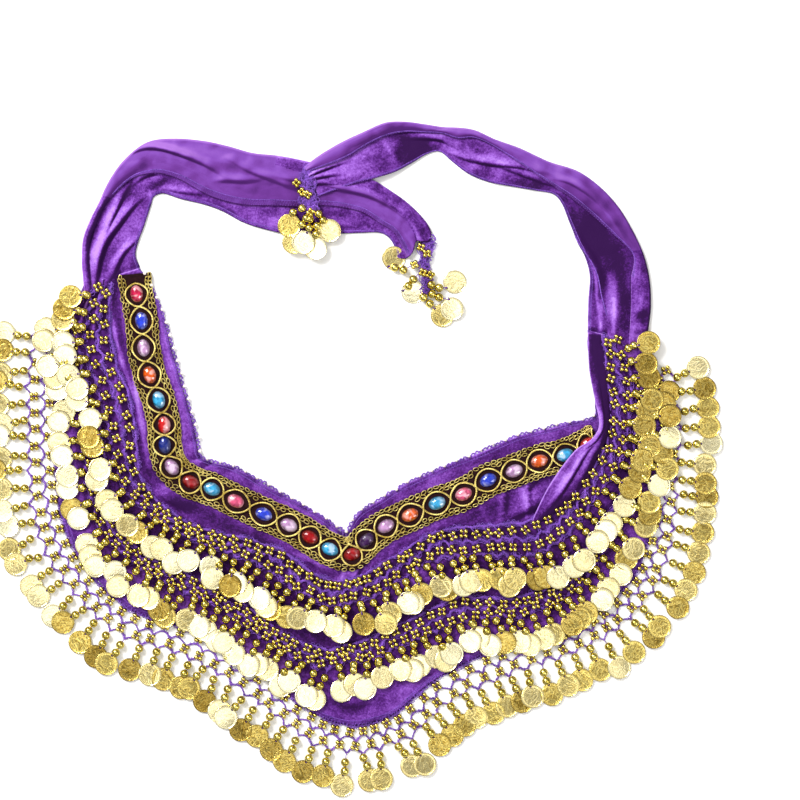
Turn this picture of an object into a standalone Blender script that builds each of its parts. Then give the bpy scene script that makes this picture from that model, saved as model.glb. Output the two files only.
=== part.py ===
"""Belly dance hip scarf, laid flat on a table.

A boomerang of panne velvet with two long waist ties, a jewelled braid along the waist edge and three
tiers of crochet net. Every tier ends in drops: two gold beads and an embossed coin on a thread.
The scarf lies on the floor plane, waist edge towards +Y, and every length below is in millimetres.
"""
import math
from collections import namedtuple

import bmesh
import bpy
import numpy as np
from mathutils import Vector
from mathutils.bvhtree import BVHTree

MM = 0.001
MIDDLE_X = -0.6            # middle of the whole scarf's box, which comes to the origin
MIDDLE_Y = 1.1

# ---- cloth ------------------------------------------------------------------------------------------
VELVET = 1.5               # wall of the body panel
TIE_WALL = 1.4             # wall of a tie's single layer
SEAM_GAP = 0.4             # between pieces that are sewn together or lie on each other

# One row for each section of the body, from the left tie round to the right one. A section runs from
# the waist edge to the hem edge. The four shares say how far along it the tiers are: the heading and
# the last chain of the upper tier, then of the lower one. The net is what hangs past the hem edge, and
# the reach is how far beyond its chain a coin of the two tiers lies.
Section = namedtuple("Section", "waist_x waist_y hem_x hem_y upper_top upper_chain lower_top "
                                "lower_chain net reach")
SECTIONS = [
    Section(-165, 147, -208, 134, .50, .78, .86, .97, 18, 15),
    Section(-155, 129, -216, 115, .54, .80, .88, .97, 19, 15),
    Section(-145, 103, -225, 92, .54, .78, .85, .95, 21, 15),
    Section(-138, 78, -228, 67, .49, .73, .79, .89, 22, 15),
    Section(-132, 57, -229, 44, .43, .66, .72, .83, 22, 15),
    Section(-126, 36, -229, 16, .42, .61, .67, .81, 22, 15),
    Section(-121, 16, -228, -13, .43, .60, .66, .81, 22, 15),
    Section(-118, 2, -226, -35, .42, .57, .67, .80, 22, 16),
    Section(-109, -2, -217, -66, .42, .53, .70, .80, 21, 17),
    Section(-94, -6, -199, -91, .42, .51, .70, .79, 20, 18),
    Section(-76, -15, -172, -116, .39, .48, .68, .77, 20, 19),
    Section(-57, -26, -142, -126, .35, .46, .68, .78, 20, 20),
    Section(-38, -37, -107, -140, .31, .45, .71, .82, 20, 20),
    Section(-20, -48, -66, -168, .32, .46, .72, .82, 20, 20),
    Section(-10, -55, -30, -196, .28, .41, .65, .75, 20, 20),
    Section(-7, -57, -5, -205, .25, .37, .58, .68, 20, 20),
    Section(-4, -54, 14, -203, .25, .37, .58, .68, 20, 20),
    Section(5, -41, 32, -196, .29, .41, .60, .70, 20, 20),
    Section(24, -29, 60, -172, .31, .43, .65, .76, 20, 20),
    Section(49, -15, 97, -152, .30, .44, .67, .79, 20, 20),
    Section(76, -4, 134, -139, .35, .52, .77, .87, 20, 20),
    Section(103, 8, 168, -127, .42, .60, .78, .87, 20, 20),
    Section(128, 18, 193, -113, .41, .57, .72, .81, 19, 20),
    Section(159, 26, 216, -89, .35, .48, .63, .73, 18, 18),
    Section(183, 31, 226, -62, .24, .42, .58, .69, 17, 16),
    Section(186, 41, 231, -32, .23, .48, .62, .75, 16, 15),
    Section(185, 53, 233, -5, .25, .56, .66, .80, 15, 15),
    Section(181, 70, 235, 26, .27, .61, .70, .84, 15, 15),
    Section(180, 88, 231, 60, .27, .62, .72, .86, 15, 15),
    Section(180, 99, 224, 88, .28, .62, .74, .88, 14, 15),
]
PANEL_ROWS = 8
PANEL_COLUMNS = 58

# Largest folds of the velvet: a rounded ridge from one section to another, at a share of its width.
Fold = namedtuple("Fold", "first last first_share last_share width height")
FOLDS = [
    Fold(2.0, 7.5, .34, .33, 9, 4.0),
    Fold(2.5, 7.0, .50, .50, 8, 2.5),
    Fold(7.6, 9.4, .38, .36, 9, 3.5),
    Fold(12.4, 14.6, .27, .22, 9, 4.5),
    Fold(17.0, 19.6, .55, .56, 12, 2.5),
    Fold(9.5, 12.0, .58, .58, 12, 2.5),
    Fold(20.4, 22.4, .37, .36, 9, 3.5),
]

# ---- ties -------------------------------------------------------------------------------------------
# One row for each section of a tie: the folded edge, the plain edge, the share of the width that the
# turned-over layer covers, and how high the tie lies.
TieSection = namedtuple("TieSection", "fold_x fold_y edge_x edge_y turned lift")
LEFT_TIE = [
    TieSection(-207.6, 134.8, -164.8, 147.8, .12, 0),
    TieSection(-209, 152, -168, 157, .12, 0),
    TieSection(-208, 169, -166, 167, .12, 0),
    TieSection(-203, 183, -162, 178, .13, 0),
    TieSection(-196, 197, -158, 190, .14, 0),
    TieSection(-189, 212, -156, 196, .25, 0),
    TieSection(-179, 227, -154.5, 201, .40, 0),
    TieSection(-166, 239, -151, 203.5, .55, 0),
    TieSection(-153, 245, -145, 204, .62, 0),
    TieSection(-134, 246, -133, 200, .68, 0),
    TieSection(-114, 244, -116, 196, .82, 0),
    TieSection(-96, 240, -102, 191, .84, 0),
    TieSection(-78, 235, -85, 182, .75, 0),
    TieSection(-59, 233, -66, 176, .67, 0),
    TieSection(-38, 229, -43, 172, .61, 0),
    TieSection(-13, 223, -18, 173, .57, 0),
    TieSection(11, 216, 5, 174, .63, 0),
    TieSection(28, 206, 20, 174, .80, 0),
    TieSection(43, 195, 28, 169, .80, 0),
    TieSection(55, 182, 33, 159, .80, 0),
    TieSection(62, 170, 36, 151, .80, 0),
]
RIGHT_TIE = [
    TieSection(-38, 224, -27, 202, .16, 5.2),
    TieSection(-26, 233, -13, 207, .30, 5.2),
    TieSection(-10, 242.5, 2, 212, .36, 5.2),
    TieSection(8, 251, 17, 216, .27, 5.0),
    TieSection(24, 258, 32, 221, .25, 2.4),
    TieSection(39, 259, 45, 228, .24, .6),
    TieSection(55, 257, 56, 234.5, .26, 0),
    TieSection(68, 255, 66, 236.5, .24, 0),
    TieSection(80, 254.5, 75.5, 229, .30, 0),
    TieSection(93, 252.5, 88, 219.5, .16, 0),
    TieSection(108.5, 245.5, 104, 213, .15, 0),
    TieSection(128, 238.5, 122.5, 209.5, .22, 0),
    TieSection(149.5, 228.5, 140, 206.5, .50, 0),
    TieSection(172, 221, 153, 204, .80, 0),
    TieSection(189.5, 208.5, 160, 196.5, .70, 0),
    TieSection(203.5, 193, 165.5, 183, .45, 0),
    TieSection(214, 175.5, 172, 167, .33, 0),
    TieSection(222.5, 157, 178, 155, .26, 0),
    TieSection(227, 138, 181.5, 141, .30, 0),
    TieSection(228, 118.5, 180.5, 124, .30, 0),
    TieSection(226.5, 103, 180, 110.5, .28, 0),
    TieSection(224.2, 88.6, 180, 99.6, .26, 0),
]
TURN_HEIGHT = 3.0          # between the middles of a tie's two layers
TURN_ROUND = 1.6           # how far the layers start from the folded edge

# ---- trim, net and drops ----------------------------------------------------------------------------
TRIM_WIDTH = 26.0
TRIM_WALL = 1.5
GEM_PITCH = 21.0
GEM_LENGTH = 14.0
GEM_WIDTH = 10.0
GEM_RISE = 3.2
# The middle line of the trim, from the left tie round the point to the right hip.
TRIM_ROUTE = [(-168, 140), (-167, 127), (-161.5, 98), (-152.5, 58), (-146, 26), (-145.5, 9), (-140, -6),
              (-125.5, -18), (-109, -24), (-91, -33), (-69, -42), (-50, -51), (-34, -60), (-18, -69),
              (-7, -73.5), (2, -73), (9.5, -63), (25, -52), (43, -43), (64, -34), (84, -27), (103, -16),
              (123, -9.5), (142, -2), (162.5, 3), (177, 9)]
COVERED_GEMS = 1           # the last gem lies under the hip fold

NET_WALL = 1.2
CHAIN_WIDTH = 2.6          # the last chain of a net, which carries the drops
DROP_PITCH = 12.9
TOOTH = 3.5                # length and tip width of the chain loop that a drop hangs on
TOOTH_TIP = 3.0
COIN = 18.0
COIN_END = 8.0             # width of a coin's outline where it starts and ends
COIN_WALL = 0.8
COIN_TILT = math.radians(7.0)   # each coin lies on the edge of the next
GAP_SHARE_ALONG = 0.64     # of a cell's width and of a row's height that is open
GAP_SHARE_ACROSS = 0.62
SMALLEST_GAP = 4.0

# One row for each tier: the sections it runs between, its share columns, the height of its tooth and
# coins over the cloth, how many nodes it is made in and how many rows of cells it has.
Tier = namedtuple("Tier", "name first last top chain tooth_lift coin_lift nodes cell_rows")
UPPER = Tier("upper", 1.2, 28.6, "upper_top", "upper_chain", 4.6, 6.8, 4, 1)
LOWER = Tier("lower", 2.4, 27.4, "lower_top", "lower_chain", 2.9, 3.6, 4, 1)
HEM = Tier("hem", 1.9, 28.2, None, None, 1.2, 1.9, 6, 2)

COLOURS = {
    "velvet": ((0.115, 0.020, 0.300, 1), 0.75, 0.0),
    "crochet_thread": ((0.090, 0.020, 0.230, 1), 0.80, 0.0),
    "gold_metal": ((0.800, 0.620, 0.330, 1), 0.28, 1.0),
    "gold_braid": ((0.620, 0.440, 0.180, 1), 0.45, 0.6),
}


def clear_scene():
    for item in list(bpy.data.objects):
        bpy.data.objects.remove(item, do_unlink=True)


def make_collection(name):
    collection = bpy.data.collections.new(name)
    bpy.context.scene.collection.children.link(collection)
    return collection


def make_material(name):
    colour, roughness, metallic = COLOURS[name]
    material = bpy.data.materials.new(name)
    material.use_nodes = True
    surface = material.node_tree.nodes["Principled BSDF"]
    surface.inputs["Base Color"].default_value = colour
    surface.inputs["Roughness"].default_value = roughness
    surface.inputs["Metallic"].default_value = metallic
    return material


def add_object(name, mesh, material):
    item = bpy.data.objects.new(name, mesh)
    item.data.materials.append(make_material(material))
    PARTS.objects.link(item)
    return item


def world(x, y, z):
    """A point in millimetres on the table becomes a point in metres."""
    return Vector(((x - MIDDLE_X) * MM, (y - MIDDLE_Y) * MM, z * MM))


def through(rows, place):
    """Catmull-Rom curve through the rows of a table, at a place counted in rows."""
    table = np.array(rows, dtype=float)
    last = len(table) - 1
    start = int(min(max(math.floor(place), 0), last - 1))
    t = place - start
    before, here, there, after = (table[min(max(start + step, 0), last)] for step in (-1, 0, 1, 2))
    if start == 0:
        before = 2 * here - there
    if start == last - 1:
        after = 2 * there - here
    return 0.5 * ((2 * here) + (there - before) * t + (2 * before - 5 * here + 4 * there - after) * t ** 2
                  + (3 * here - before - 3 * there + after) * t ** 3)


def section_at(place):
    return Section(*through(SECTIONS, place))


def on_section(place, share):
    """Point in millimetres at a share of the way from the waist edge to the hem edge."""
    cut = section_at(place)
    return (cut.waist_x + (cut.hem_x - cut.waist_x) * share, cut.waist_y + (cut.hem_y - cut.waist_y) * share)


def outward(place):
    """Direction of a section, from waist to hem."""
    cut = section_at(place)
    run = np.array([cut.hem_x - cut.waist_x, cut.hem_y - cut.waist_y])
    return run / np.linalg.norm(run)


def hem_normal(place):
    """Direction square to the hem edge, averaged over the neighbouring sections."""
    a = np.array(on_section(place - 0.8, 1.0))
    b = np.array(on_section(place + 0.8, 1.0))
    run = (b - a) / np.linalg.norm(b - a)
    return np.array([run[1], -run[0]])


def drop_direction(place):
    """A tier's drops lie between the section and the hem's normal."""
    mixed = outward(place) * 0.3 + hem_normal(place) * 0.7
    return mixed / np.linalg.norm(mixed)


def fold_lift(place, share):
    """Height of the velvet's underside over the table."""
    cut = section_at(place)
    length = math.hypot(cut.hem_x - cut.waist_x, cut.hem_y - cut.waist_y)
    total = 0.0
    for fold in FOLDS:
        along = (place - fold.first) / (fold.last - fold.first)
        if not 0.0 < along < 1.0:
            continue
        crest = fold.first_share + (fold.last_share - fold.first_share) * along
        across = (share - crest) * length / fold.width
        total += fold.height * math.sin(math.pi * along) ** 2 * math.exp(-across * across)
    return total if total > 0.02 else 0.0


def make_sheet(name, columns, rows, place, material, wall, offset):
    """Cloth: a grid moved by a function of its two shares, then thickened."""
    mesh = bpy.data.meshes.new(name)
    grid = bmesh.new()
    bmesh.ops.create_grid(grid, x_segments=columns, y_segments=rows, size=1.0)
    for corner in grid.verts:
        corner.co = place((corner.co.x + 1) / 2, (corner.co.y + 1) / 2)
    grid.normal_update()
    if sum(face.normal.z * face.calc_area() for face in grid.faces) < 0:
        bmesh.ops.reverse_faces(grid, faces=grid.faces[:])
    grid.to_mesh(mesh)
    grid.free()
    item = add_object(name, mesh, material)
    solidify = item.modifiers.new("wall", "SOLIDIFY")
    solidify.thickness = wall * MM
    solidify.offset = offset
    solidify.use_even_offset = True
    return item


def make_panel():
    """Body of the scarf: flat on the table but for its folds."""
    last = len(SECTIONS) - 1

    def place(along, share):
        x, y = on_section(along * last, share)
        return world(x, y, fold_lift(along * last, share))

    return make_sheet("panel", PANEL_COLUMNS, PANEL_ROWS, place, "velvet", VELVET, 1.0)


def cloth_under(item):
    """A function that gives the top of a cloth piece, in millimetres, around a point."""
    bpy.context.view_layer.update()
    tree = BVHTree.FromObject(item, bpy.context.evaluated_depsgraph_get())

    def height(x, y, around):
        top = 0.0
        for step_x in (-around, 0.0, around):
            for step_y in (-around, 0.0, around):
                start = world(x + step_x, y + step_y, 100)
                hit = tree.ray_cast(start, Vector((0, 0, -1)))[0]
                if hit:
                    top = max(top, hit.z / MM)
        return top

    return height


def make_tie(name, table):
    """A band lying folded in two layers: its section is a flat hook, open along the serged edge."""
    last = len(table) - 1
    low = TIE_WALL / 2

    def place(along, across):
        row = TieSection(*through(table, along * last))
        edge = np.array([row.edge_x, row.edge_y])
        fold = np.array([row.fold_x, row.fold_y])
        width = np.linalg.norm(edge - fold)
        hook = [(width, 0.0), (width * 0.5, 0.0), (TURN_ROUND, 0.0), (0.0, TURN_HEIGHT * 0.28),
                (0.0, TURN_HEIGHT * 0.72), (TURN_ROUND, TURN_HEIGHT),
                (max(width * row.turned, TURN_ROUND + 2), TURN_HEIGHT)]
        distance, rise = hook[round(across * (len(hook) - 1))]
        x, y = fold + (edge - fold) / width * distance
        return world(x, y, low + row.lift + rise)

    return make_sheet(name, last, 6, place, "velvet", TIE_WALL, 0.0)


def evenly_along(points, pitch):
    """Cuts a line of points into equal lengths of about one pitch, and gives the cutting places."""
    steps = np.hypot(*np.diff(np.array(points, dtype=float), axis=0).T)
    travelled = np.concatenate([[0.0], np.cumsum(steps)])
    count = max(1, round(travelled[-1] / pitch))
    return np.interp(np.linspace(0, travelled[-1], count + 1), travelled, range(len(points)))


def make_trim(top_of_cloth):
    """Braid band along the waist with a domed gem every pitch."""
    fine = [through(TRIM_ROUTE, place) for place in np.linspace(0, len(TRIM_ROUTE) - 1, 400)]
    ends = evenly_along(fine, GEM_PITCH)
    gem_share = GEM_LENGTH / GEM_PITCH
    cuts = []
    for start, end in zip(ends[:-1], ends[1:]):
        cuts += [start + (end - start) * (1 - gem_share) / 2, start + (end - start) * (1 + gem_share) / 2]
    cuts = [ends[0]] + cuts + [ends[-1]]
    across = [-TRIM_WIDTH / 2, -GEM_WIDTH / 2, GEM_WIDTH / 2, TRIM_WIDTH / 2]

    def route(place):
        low = int(min(place, len(fine) - 2))
        return fine[low] + (fine[low + 1] - fine[low]) * (place - low)

    mesh = bpy.data.meshes.new("waist_trim")
    band = bmesh.new()
    bmesh.ops.create_grid(band, x_segments=len(cuts) - 1, y_segments=3, size=1.0)
    for corner in band.verts:
        place = cuts[round((corner.co.x + 1) / 2 * (len(cuts) - 1))]
        side = across[round((corner.co.y + 1) / 2 * 3)]
        run = route(min(place + 15, len(fine) - 1)) - route(max(place - 15, 0))
        run = run / np.linalg.norm(run)
        x, y = route(place) + np.array([run[1], -run[0]]) * side
        corner.co = world(x, y, top_of_cloth(x, y, 6) + SEAM_GAP)
    bottom = band.faces[:]
    raised = bmesh.ops.extrude_face_region(band, geom=bottom, use_keep_orig=True)["geom"]
    for corner in (piece for piece in raised if isinstance(piece, bmesh.types.BMVert)):
        corner.co.z += TRIM_WALL * MM
    top = [piece for piece in raised if isinstance(piece, bmesh.types.BMFace)]
    bmesh.ops.recalc_face_normals(band, faces=band.faces[:])
    middle = []
    for face in top:
        lengths = sorted(edge.calc_length() / MM for edge in face.edges)
        if lengths[0] > GEM_WIDTH * 0.9 and lengths[-1] > GEM_LENGTH * 0.7:
            middle.append(face)
    gems = middle[:len(middle) - COVERED_GEMS]
    for inset, rise in ((1.0, GEM_RISE * 0.6), (2.2, GEM_RISE * 0.4)):
        bmesh.ops.inset_individual(band, faces=gems, thickness=inset * MM, depth=rise * MM)
    band.to_mesh(mesh)
    band.free()
    return add_object("waist_trim", mesh, "gold_braid")


def filled_outline(name, loops, wall):
    """Flat piece with holes: closed outlines on one plane, filled and thickened, as a mesh."""
    curve = bpy.data.curves.new(name + "_outline", "CURVE")
    curve.dimensions = "2D"
    curve.fill_mode = "BOTH"
    curve.extrude = wall / 2 * MM
    for loop in loops:
        spline = curve.splines.new("POLY")
        spline.points.add(len(loop) - 1)
        for point, (x, y) in zip(spline.points, loop):
            point.co = (*world(x, y, 0), 1)
        spline.use_cyclic_u = True
    item = bpy.data.objects.new(name + "_outline", curve)
    PARTS.objects.link(item)
    bpy.context.view_layer.update()
    mesh = bpy.data.meshes.new_from_object(item.evaluated_get(bpy.context.evaluated_depsgraph_get()))
    bpy.data.objects.remove(item, do_unlink=True)
    bpy.data.curves.remove(curve)
    piece = bmesh.new()
    piece.from_mesh(mesh)
    bmesh.ops.remove_doubles(piece, verts=piece.verts[:], dist=0.00005)
    for corner in piece.verts:
        corner.co.z += wall / 2 * MM
    piece.to_mesh(mesh)
    piece.free()
    mesh.name = name
    return mesh


def tier_lines(tier):
    """The heading line and the chain line of a tier, as functions of the place along the sections."""
    if tier.top:
        def heading(place):
            return np.array(on_section(place, getattr(section_at(place), tier.top)))

        def chain(place):
            return np.array(on_section(place, getattr(section_at(place), tier.chain)))
    else:
        def heading(place):
            return np.array(on_section(place, 1.0)) + hem_normal(place) * SEAM_GAP

        def chain(place):
            return np.array(on_section(place, 1.0)) + hem_normal(place) * section_at(place).net
    return heading, chain


def drop_places(tier):
    """Places along the sections where one cell of the tier ends and the next begins."""
    chain = tier_lines(tier)[1]
    grain = np.linspace(tier.first, tier.last, 600)
    cuts = evenly_along([chain(place) for place in grain], DROP_PITCH)
    return [float(np.interp(cut, range(len(grain)), grain)) for cut in cuts]


def node_spans(tier, places):
    """Splits the cells of a tier among its nodes."""
    cells = len(places) - 1
    ends = [round(cells * part / tier.nodes) for part in range(tier.nodes + 1)]
    return list(zip(ends[:-1], ends[1:]))


def make_net(tier, number, places, top_of_cloth):
    """Crochet net between the heading and the last chain, with its cells cut through."""
    heading, chain = tier_lines(tier)
    direction = drop_direction if tier.top else hem_normal

    def spot(place, share):
        a = heading(place)
        b = chain(place) - direction(place) * (CHAIN_WIDTH / 2 + SEAM_GAP)
        return a + (b - a) * share

    trim = 0.02 * (places[1] - places[0])
    ends = [places[0] + trim] + places[1:-1] + [places[-1] - trim]
    outline = [spot(place, 0.0) for place in ends] + [spot(place, 1.0) for place in reversed(ends)]
    gaps = []
    for row in range(tier.cell_rows):
        middle = (row + 0.5) / tier.cell_rows
        half = GAP_SHARE_ACROSS / 2 / tier.cell_rows
        for start, end in zip(places[:-1], places[1:]):
            left = start + (end - start) * (1 - GAP_SHARE_ALONG) / 2
            right = end - (end - start) * (1 - GAP_SHARE_ALONG) / 2
            gap = [spot(left, middle - half), spot(right, middle - half),
                   spot(right, middle + half), spot(left, middle + half)]
            sides = [np.linalg.norm(a - b) for a, b in zip(gap, gap[1:] + gap[:1])]
            if min(sides) > SMALLEST_GAP:
                gaps.append(gap)
    name = f"{tier.name}_net_{number}"
    mesh = filled_outline(name, [outline] + gaps, NET_WALL)
    if tier.top:
        for corner in mesh.vertices:
            x = corner.co.x / MM + MIDDLE_X
            y = corner.co.y / MM + MIDDLE_Y
            corner.co.z += (top_of_cloth(x, y, 6) + SEAM_GAP) * MM
    return add_object(name, mesh, "crochet_thread"), len(gaps)


def place_section(face, tags, centre, along, width, wall, tilt):
    """Moves the four corners of a drop's end face to a flat section, tilted about the drop."""
    side = np.array([along[1], -along[0], 0.0])
    up = np.array([0.0, 0.0, 1.0])
    tilted = side * math.cos(tilt) + up * math.sin(tilt)
    normal = up * math.cos(tilt) - side * math.sin(tilt)
    for corner in face.verts:
        right = 1 if corner[tags["far"]] else -1
        above = 1 if corner[tags["top"]] else -1
        x, y, z = centre + tilted * right * width / 2 + normal * above * wall / 2
        corner.co = world(x, y, z)


def grow_drop(piece, face, tags, root, coin, tooth_z):
    """Grows a chain loop, a beaded thread and a coin out of one side face of a strip."""
    root = np.array(root)
    coin = np.array(coin)
    along = (coin - root)[:2] / np.linalg.norm((coin - root)[:2])
    side = np.array([along[1], -along[0]])
    low, high = sorted(face.verts, key=lambda corner: corner.co.x * side[0] + corner.co.y * side[1])[::3]
    for corner in face.verts:
        near = (corner.co - low.co).xy.length < (corner.co - high.co).xy.length
        corner[tags["far"]] = 0 if near else 1
    tooth = np.array([*(root[:2] + along * TOOTH), tooth_z])
    sections = [(tooth, TOOTH_TIP, NET_WALL, 0.0)]
    for step, width in ((-COIN / 2, COIN_END), (0.0, COIN), (COIN / 2, COIN_END)):
        sections.append((coin + np.array([*along, 0.0]) * step, width, COIN_WALL, COIN_TILT))
    for centre, width, wall, tilt in sections:
        face = bmesh.ops.extrude_discrete_faces(piece, faces=[face])["faces"][0]
        place_section(face, tags, centre, along, width, wall, tilt)


def make_drop_strip(name, line, outside, coins, tooth_lift, material="gold_metal"):
    """A narrow strip along a line of points, with one drop growing from each of its cells.

    line has one more point (x, y, z of the underside) than coins has drops; outside is the direction
    of each point's drop side, and a coin is the middle of a drop's coin.
    """
    mesh = bpy.data.meshes.new(name)
    piece = bmesh.new()
    tags = {"far": piece.verts.layers.int.new("far"), "top": piece.verts.layers.int.new("top")}
    column = piece.verts.layers.int.new("column")
    outer = piece.verts.layers.int.new("outer")
    bmesh.ops.create_grid(piece, x_segments=len(coins), y_segments=1, size=1.0)
    for corner in piece.verts:
        corner[column] = round((corner.co.x + 1) / 2 * len(coins))
        corner[outer] = 1 if corner.co.y > 0 else 0
        x, y, z = line[corner[column]]
        away = outside[corner[column]] * (CHAIN_WIDTH / 2 if corner[outer] else -CHAIN_WIDTH / 2)
        corner.co = world(x + away[0], y + away[1], z)
    raised = bmesh.ops.extrude_face_region(piece, geom=piece.faces[:], use_keep_orig=True)["geom"]
    for corner in (part for part in raised if isinstance(part, bmesh.types.BMVert)):
        corner.co.z += NET_WALL * MM
        corner[tags["top"]] = 1
    roots = {}
    for face in piece.faces:
        if all(corner[outer] for corner in face.verts) and len({corner[tags["top"]] for corner in face.verts}) == 2:
            roots[min(corner[column] for corner in face.verts)] = face
    for number, coin in enumerate(coins):
        middle = [(a + b) / 2 for a, b in zip(line[number], line[number + 1])]
        away = (outside[number] + outside[number + 1]) / 2 * CHAIN_WIDTH / 2
        root = (middle[0] + away[0], middle[1] + away[1], middle[2] + NET_WALL / 2)
        grow_drop(piece, roots[number], tags, root, coin, middle[2] + tooth_lift)
    bmesh.ops.recalc_face_normals(piece, faces=piece.faces[:])
    piece.to_mesh(mesh)
    piece.free()
    return add_object(name, mesh, material)


def make_tier_drops(tier, number, places, top_of_cloth):
    """The last chain of a tier and its drops."""
    chain = tier_lines(tier)[1]
    direction = drop_direction if tier.top else hem_normal
    trim = 0.015 * (places[1] - places[0])
    ends = [places[0] + trim] + places[1:-1] + [places[-1] - trim]
    line = []
    for place in ends:
        x, y = chain(place)
        base = top_of_cloth(x, y, 6) + SEAM_GAP if tier.top else 0.0
        line.append((x, y, base))
    coins = []
    for start, end, a, b in zip(places[:-1], places[1:], line[:-1], line[1:]):
        middle = (start + end) / 2
        reach = section_at(middle).reach if tier.top else 23.0
        x, y = chain(middle) + direction(middle) * reach
        base = max((a[2] + b[2]) / 2 - VELVET - SEAM_GAP, 0.0) if tier.top else 0.0
        coins.append((x, y, base + tier.coin_lift))
    outside = [direction(place) for place in ends]
    lift = tier.tooth_lift - (VELVET + SEAM_GAP if tier.top else 0.0)
    return make_drop_strip(f"{tier.name}_drops_{number}", line, outside, coins, lift)


def make_tier(tier, top_of_cloth):
    places = drop_places(tier)
    cut = 0
    for number, (first, last) in enumerate(node_spans(tier, places), start=1):
        span = places[first:last + 1]
        cut += make_net(tier, number, span, top_of_cloth)[1]
        make_tier_drops(tier, number, span, top_of_cloth)
    print(f"{tier.name}: {len(places) - 1} drops, {cut} gaps cut")


def make_hip_fold(top_of_cloth):
    """Velvet of the right hip, folded down over the end of the trim."""
    first, last = 22.4, 28.9

    def place(along, across):
        here = first + (last - first) * along
        cut = section_at(here)
        inner = max(0.01, 0.37 - 0.36 * min(1.0, along / 0.26))
        outer = cut.upper_top - 0.05
        inner = min(inner, outer - 0.10)
        share = inner + (outer - inner) * across
        x, y = on_section(here, share)
        arch = math.sin(math.pi * min(1.0, 0.25 + across * 0.75))
        edge = 2.3 * min(1.0, max(0.0, 1.6 - along * 2.5))
        return world(x, y, VELVET + SEAM_GAP + edge + 4.2 * arch * math.sin(math.pi * (0.08 + 0.84 * along)))

    return make_sheet("hip_fold", 14, 4, place, "velvet", TIE_WALL, 1.0)


def make_tassel(name, bar, outside, coins, height):
    """A crochet bar at the end of a tie with its own drops."""
    count = len(coins)
    line = [(bar[0][0] + (bar[1][0] - bar[0][0]) * step / count,
             bar[0][1] + (bar[1][1] - bar[0][1]) * step / count, height) for step in range(count + 1)]
    directions = [np.array(outside) / np.linalg.norm(outside)] * (count + 1)
    return make_drop_strip(name, line, directions, [(x, y, height + 1.9) for x, y in coins], 1.2)


clear_scene()
PARTS = make_collection("hip_scarf")
velvet_top = cloth_under(make_panel())
make_tie("left_tie", LEFT_TIE)
make_tie("right_tie", RIGHT_TIE)
make_trim(velvet_top)
make_hip_fold(velvet_top)
for each_tier in (UPPER, LOWER, HEM):
    make_tier(each_tier, velvet_top)
make_tassel("left_tassel", [(37.2, 149.4), (62.6, 167.9)], (0.59, -0.81),
            [(34, 128), (52, 115), (72, 116), (82, 136)], 0.3)
make_tassel("right_tassel", [(-43, 199.3), (-25, 198.0)], (-0.05, -1.0),
            [(-55, 182), (-44, 166), (-24, 165), (-12, 179)], 5.0)
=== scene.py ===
"""Looks of a belly dance hip scarf, laid flat: velvet, jewelled braid, crochet net, beads and coins."""
import math
import random
from collections import namedtuple
from functools import lru_cache, partial

import bmesh
import bpy
import numpy as np
from mathutils import Matrix, Vector, noise
from mathutils.bvhtree import BVHTree


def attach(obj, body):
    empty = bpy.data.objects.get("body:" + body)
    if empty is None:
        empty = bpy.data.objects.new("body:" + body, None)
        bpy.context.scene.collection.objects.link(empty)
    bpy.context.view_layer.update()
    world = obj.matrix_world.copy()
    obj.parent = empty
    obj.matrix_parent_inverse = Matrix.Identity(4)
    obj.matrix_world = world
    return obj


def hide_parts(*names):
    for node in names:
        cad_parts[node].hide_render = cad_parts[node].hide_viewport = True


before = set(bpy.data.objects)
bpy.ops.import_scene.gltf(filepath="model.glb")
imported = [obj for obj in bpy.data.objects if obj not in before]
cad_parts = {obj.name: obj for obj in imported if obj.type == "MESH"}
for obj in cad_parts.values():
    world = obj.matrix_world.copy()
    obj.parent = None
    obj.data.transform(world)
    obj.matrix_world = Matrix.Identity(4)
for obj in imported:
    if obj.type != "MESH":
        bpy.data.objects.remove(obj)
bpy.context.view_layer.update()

# ---- table, light and camera ------------------------------------------------------------------------
# The scarf lies on a white studio table. A wide soft box hangs over it, a smaller one stands to one
# side, and the camera looks straight down through a long lens.
VIEW_CENTRE = (0.0360, 0.0443)
VIEW_WIDTH = 0.616
CAMERA_HEIGHT = 2.6
SENSOR = 36.0
TABLE_SIZE = 4.0
TABLE_DROP = 0.0002        # the table lies this far under the scarf, so that they never share a plane


def feed(node, **values):
    """Sets a node's properties and inputs; an input is linked where its value is a node's output.

    An input is given by its name, with _ for a space, or by its number, such as i0 for the first.
    """
    for key, value in values.items():
        if hasattr(node, key):
            setattr(node, key, value)
            continue
        socket = node.inputs[int(key[1:]) if key[1:].isdigit() else key.replace("_", " ")]
        if isinstance(value, bpy.types.NodeSocket):
            node.id_data.links.new(value, socket)
        else:
            socket.default_value = value
    return node


def node_of(tree, kind, **values):
    return feed(tree.nodes.new(kind), **values)


def maths(tree, operation, *values):
    """The result of one step of arithmetic."""
    inputs = {f"i{number}": value for number, value in enumerate(values)}
    return node_of(tree, "ShaderNodeMath", operation=operation, **inputs).outputs[0]


def vector_maths(tree, operation, output, **values):
    """One output of a step of arithmetic with vectors."""
    return node_of(tree, "ShaderNodeVectorMath", operation=operation, **values).outputs[output]


def ranged(tree, value, low, high, at_low, at_high, kind="SMOOTHSTEP"):
    """A value between low and high, brought to the range from at_low to at_high."""
    return node_of(tree, "ShaderNodeMapRange", Value=value, interpolation_type=kind, From_Min=low,
                   From_Max=high, To_Min=at_low, To_Max=at_high).outputs["Result"]


def new_material(name):
    material = bpy.data.materials.new(name)
    material.use_nodes = True
    return material, material.node_tree, material.node_tree.nodes["Principled BSDF"]


def add_object(name, data):
    item = bpy.data.objects.new(name, data)
    bpy.context.scene.collection.objects.link(item)
    return item


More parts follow.
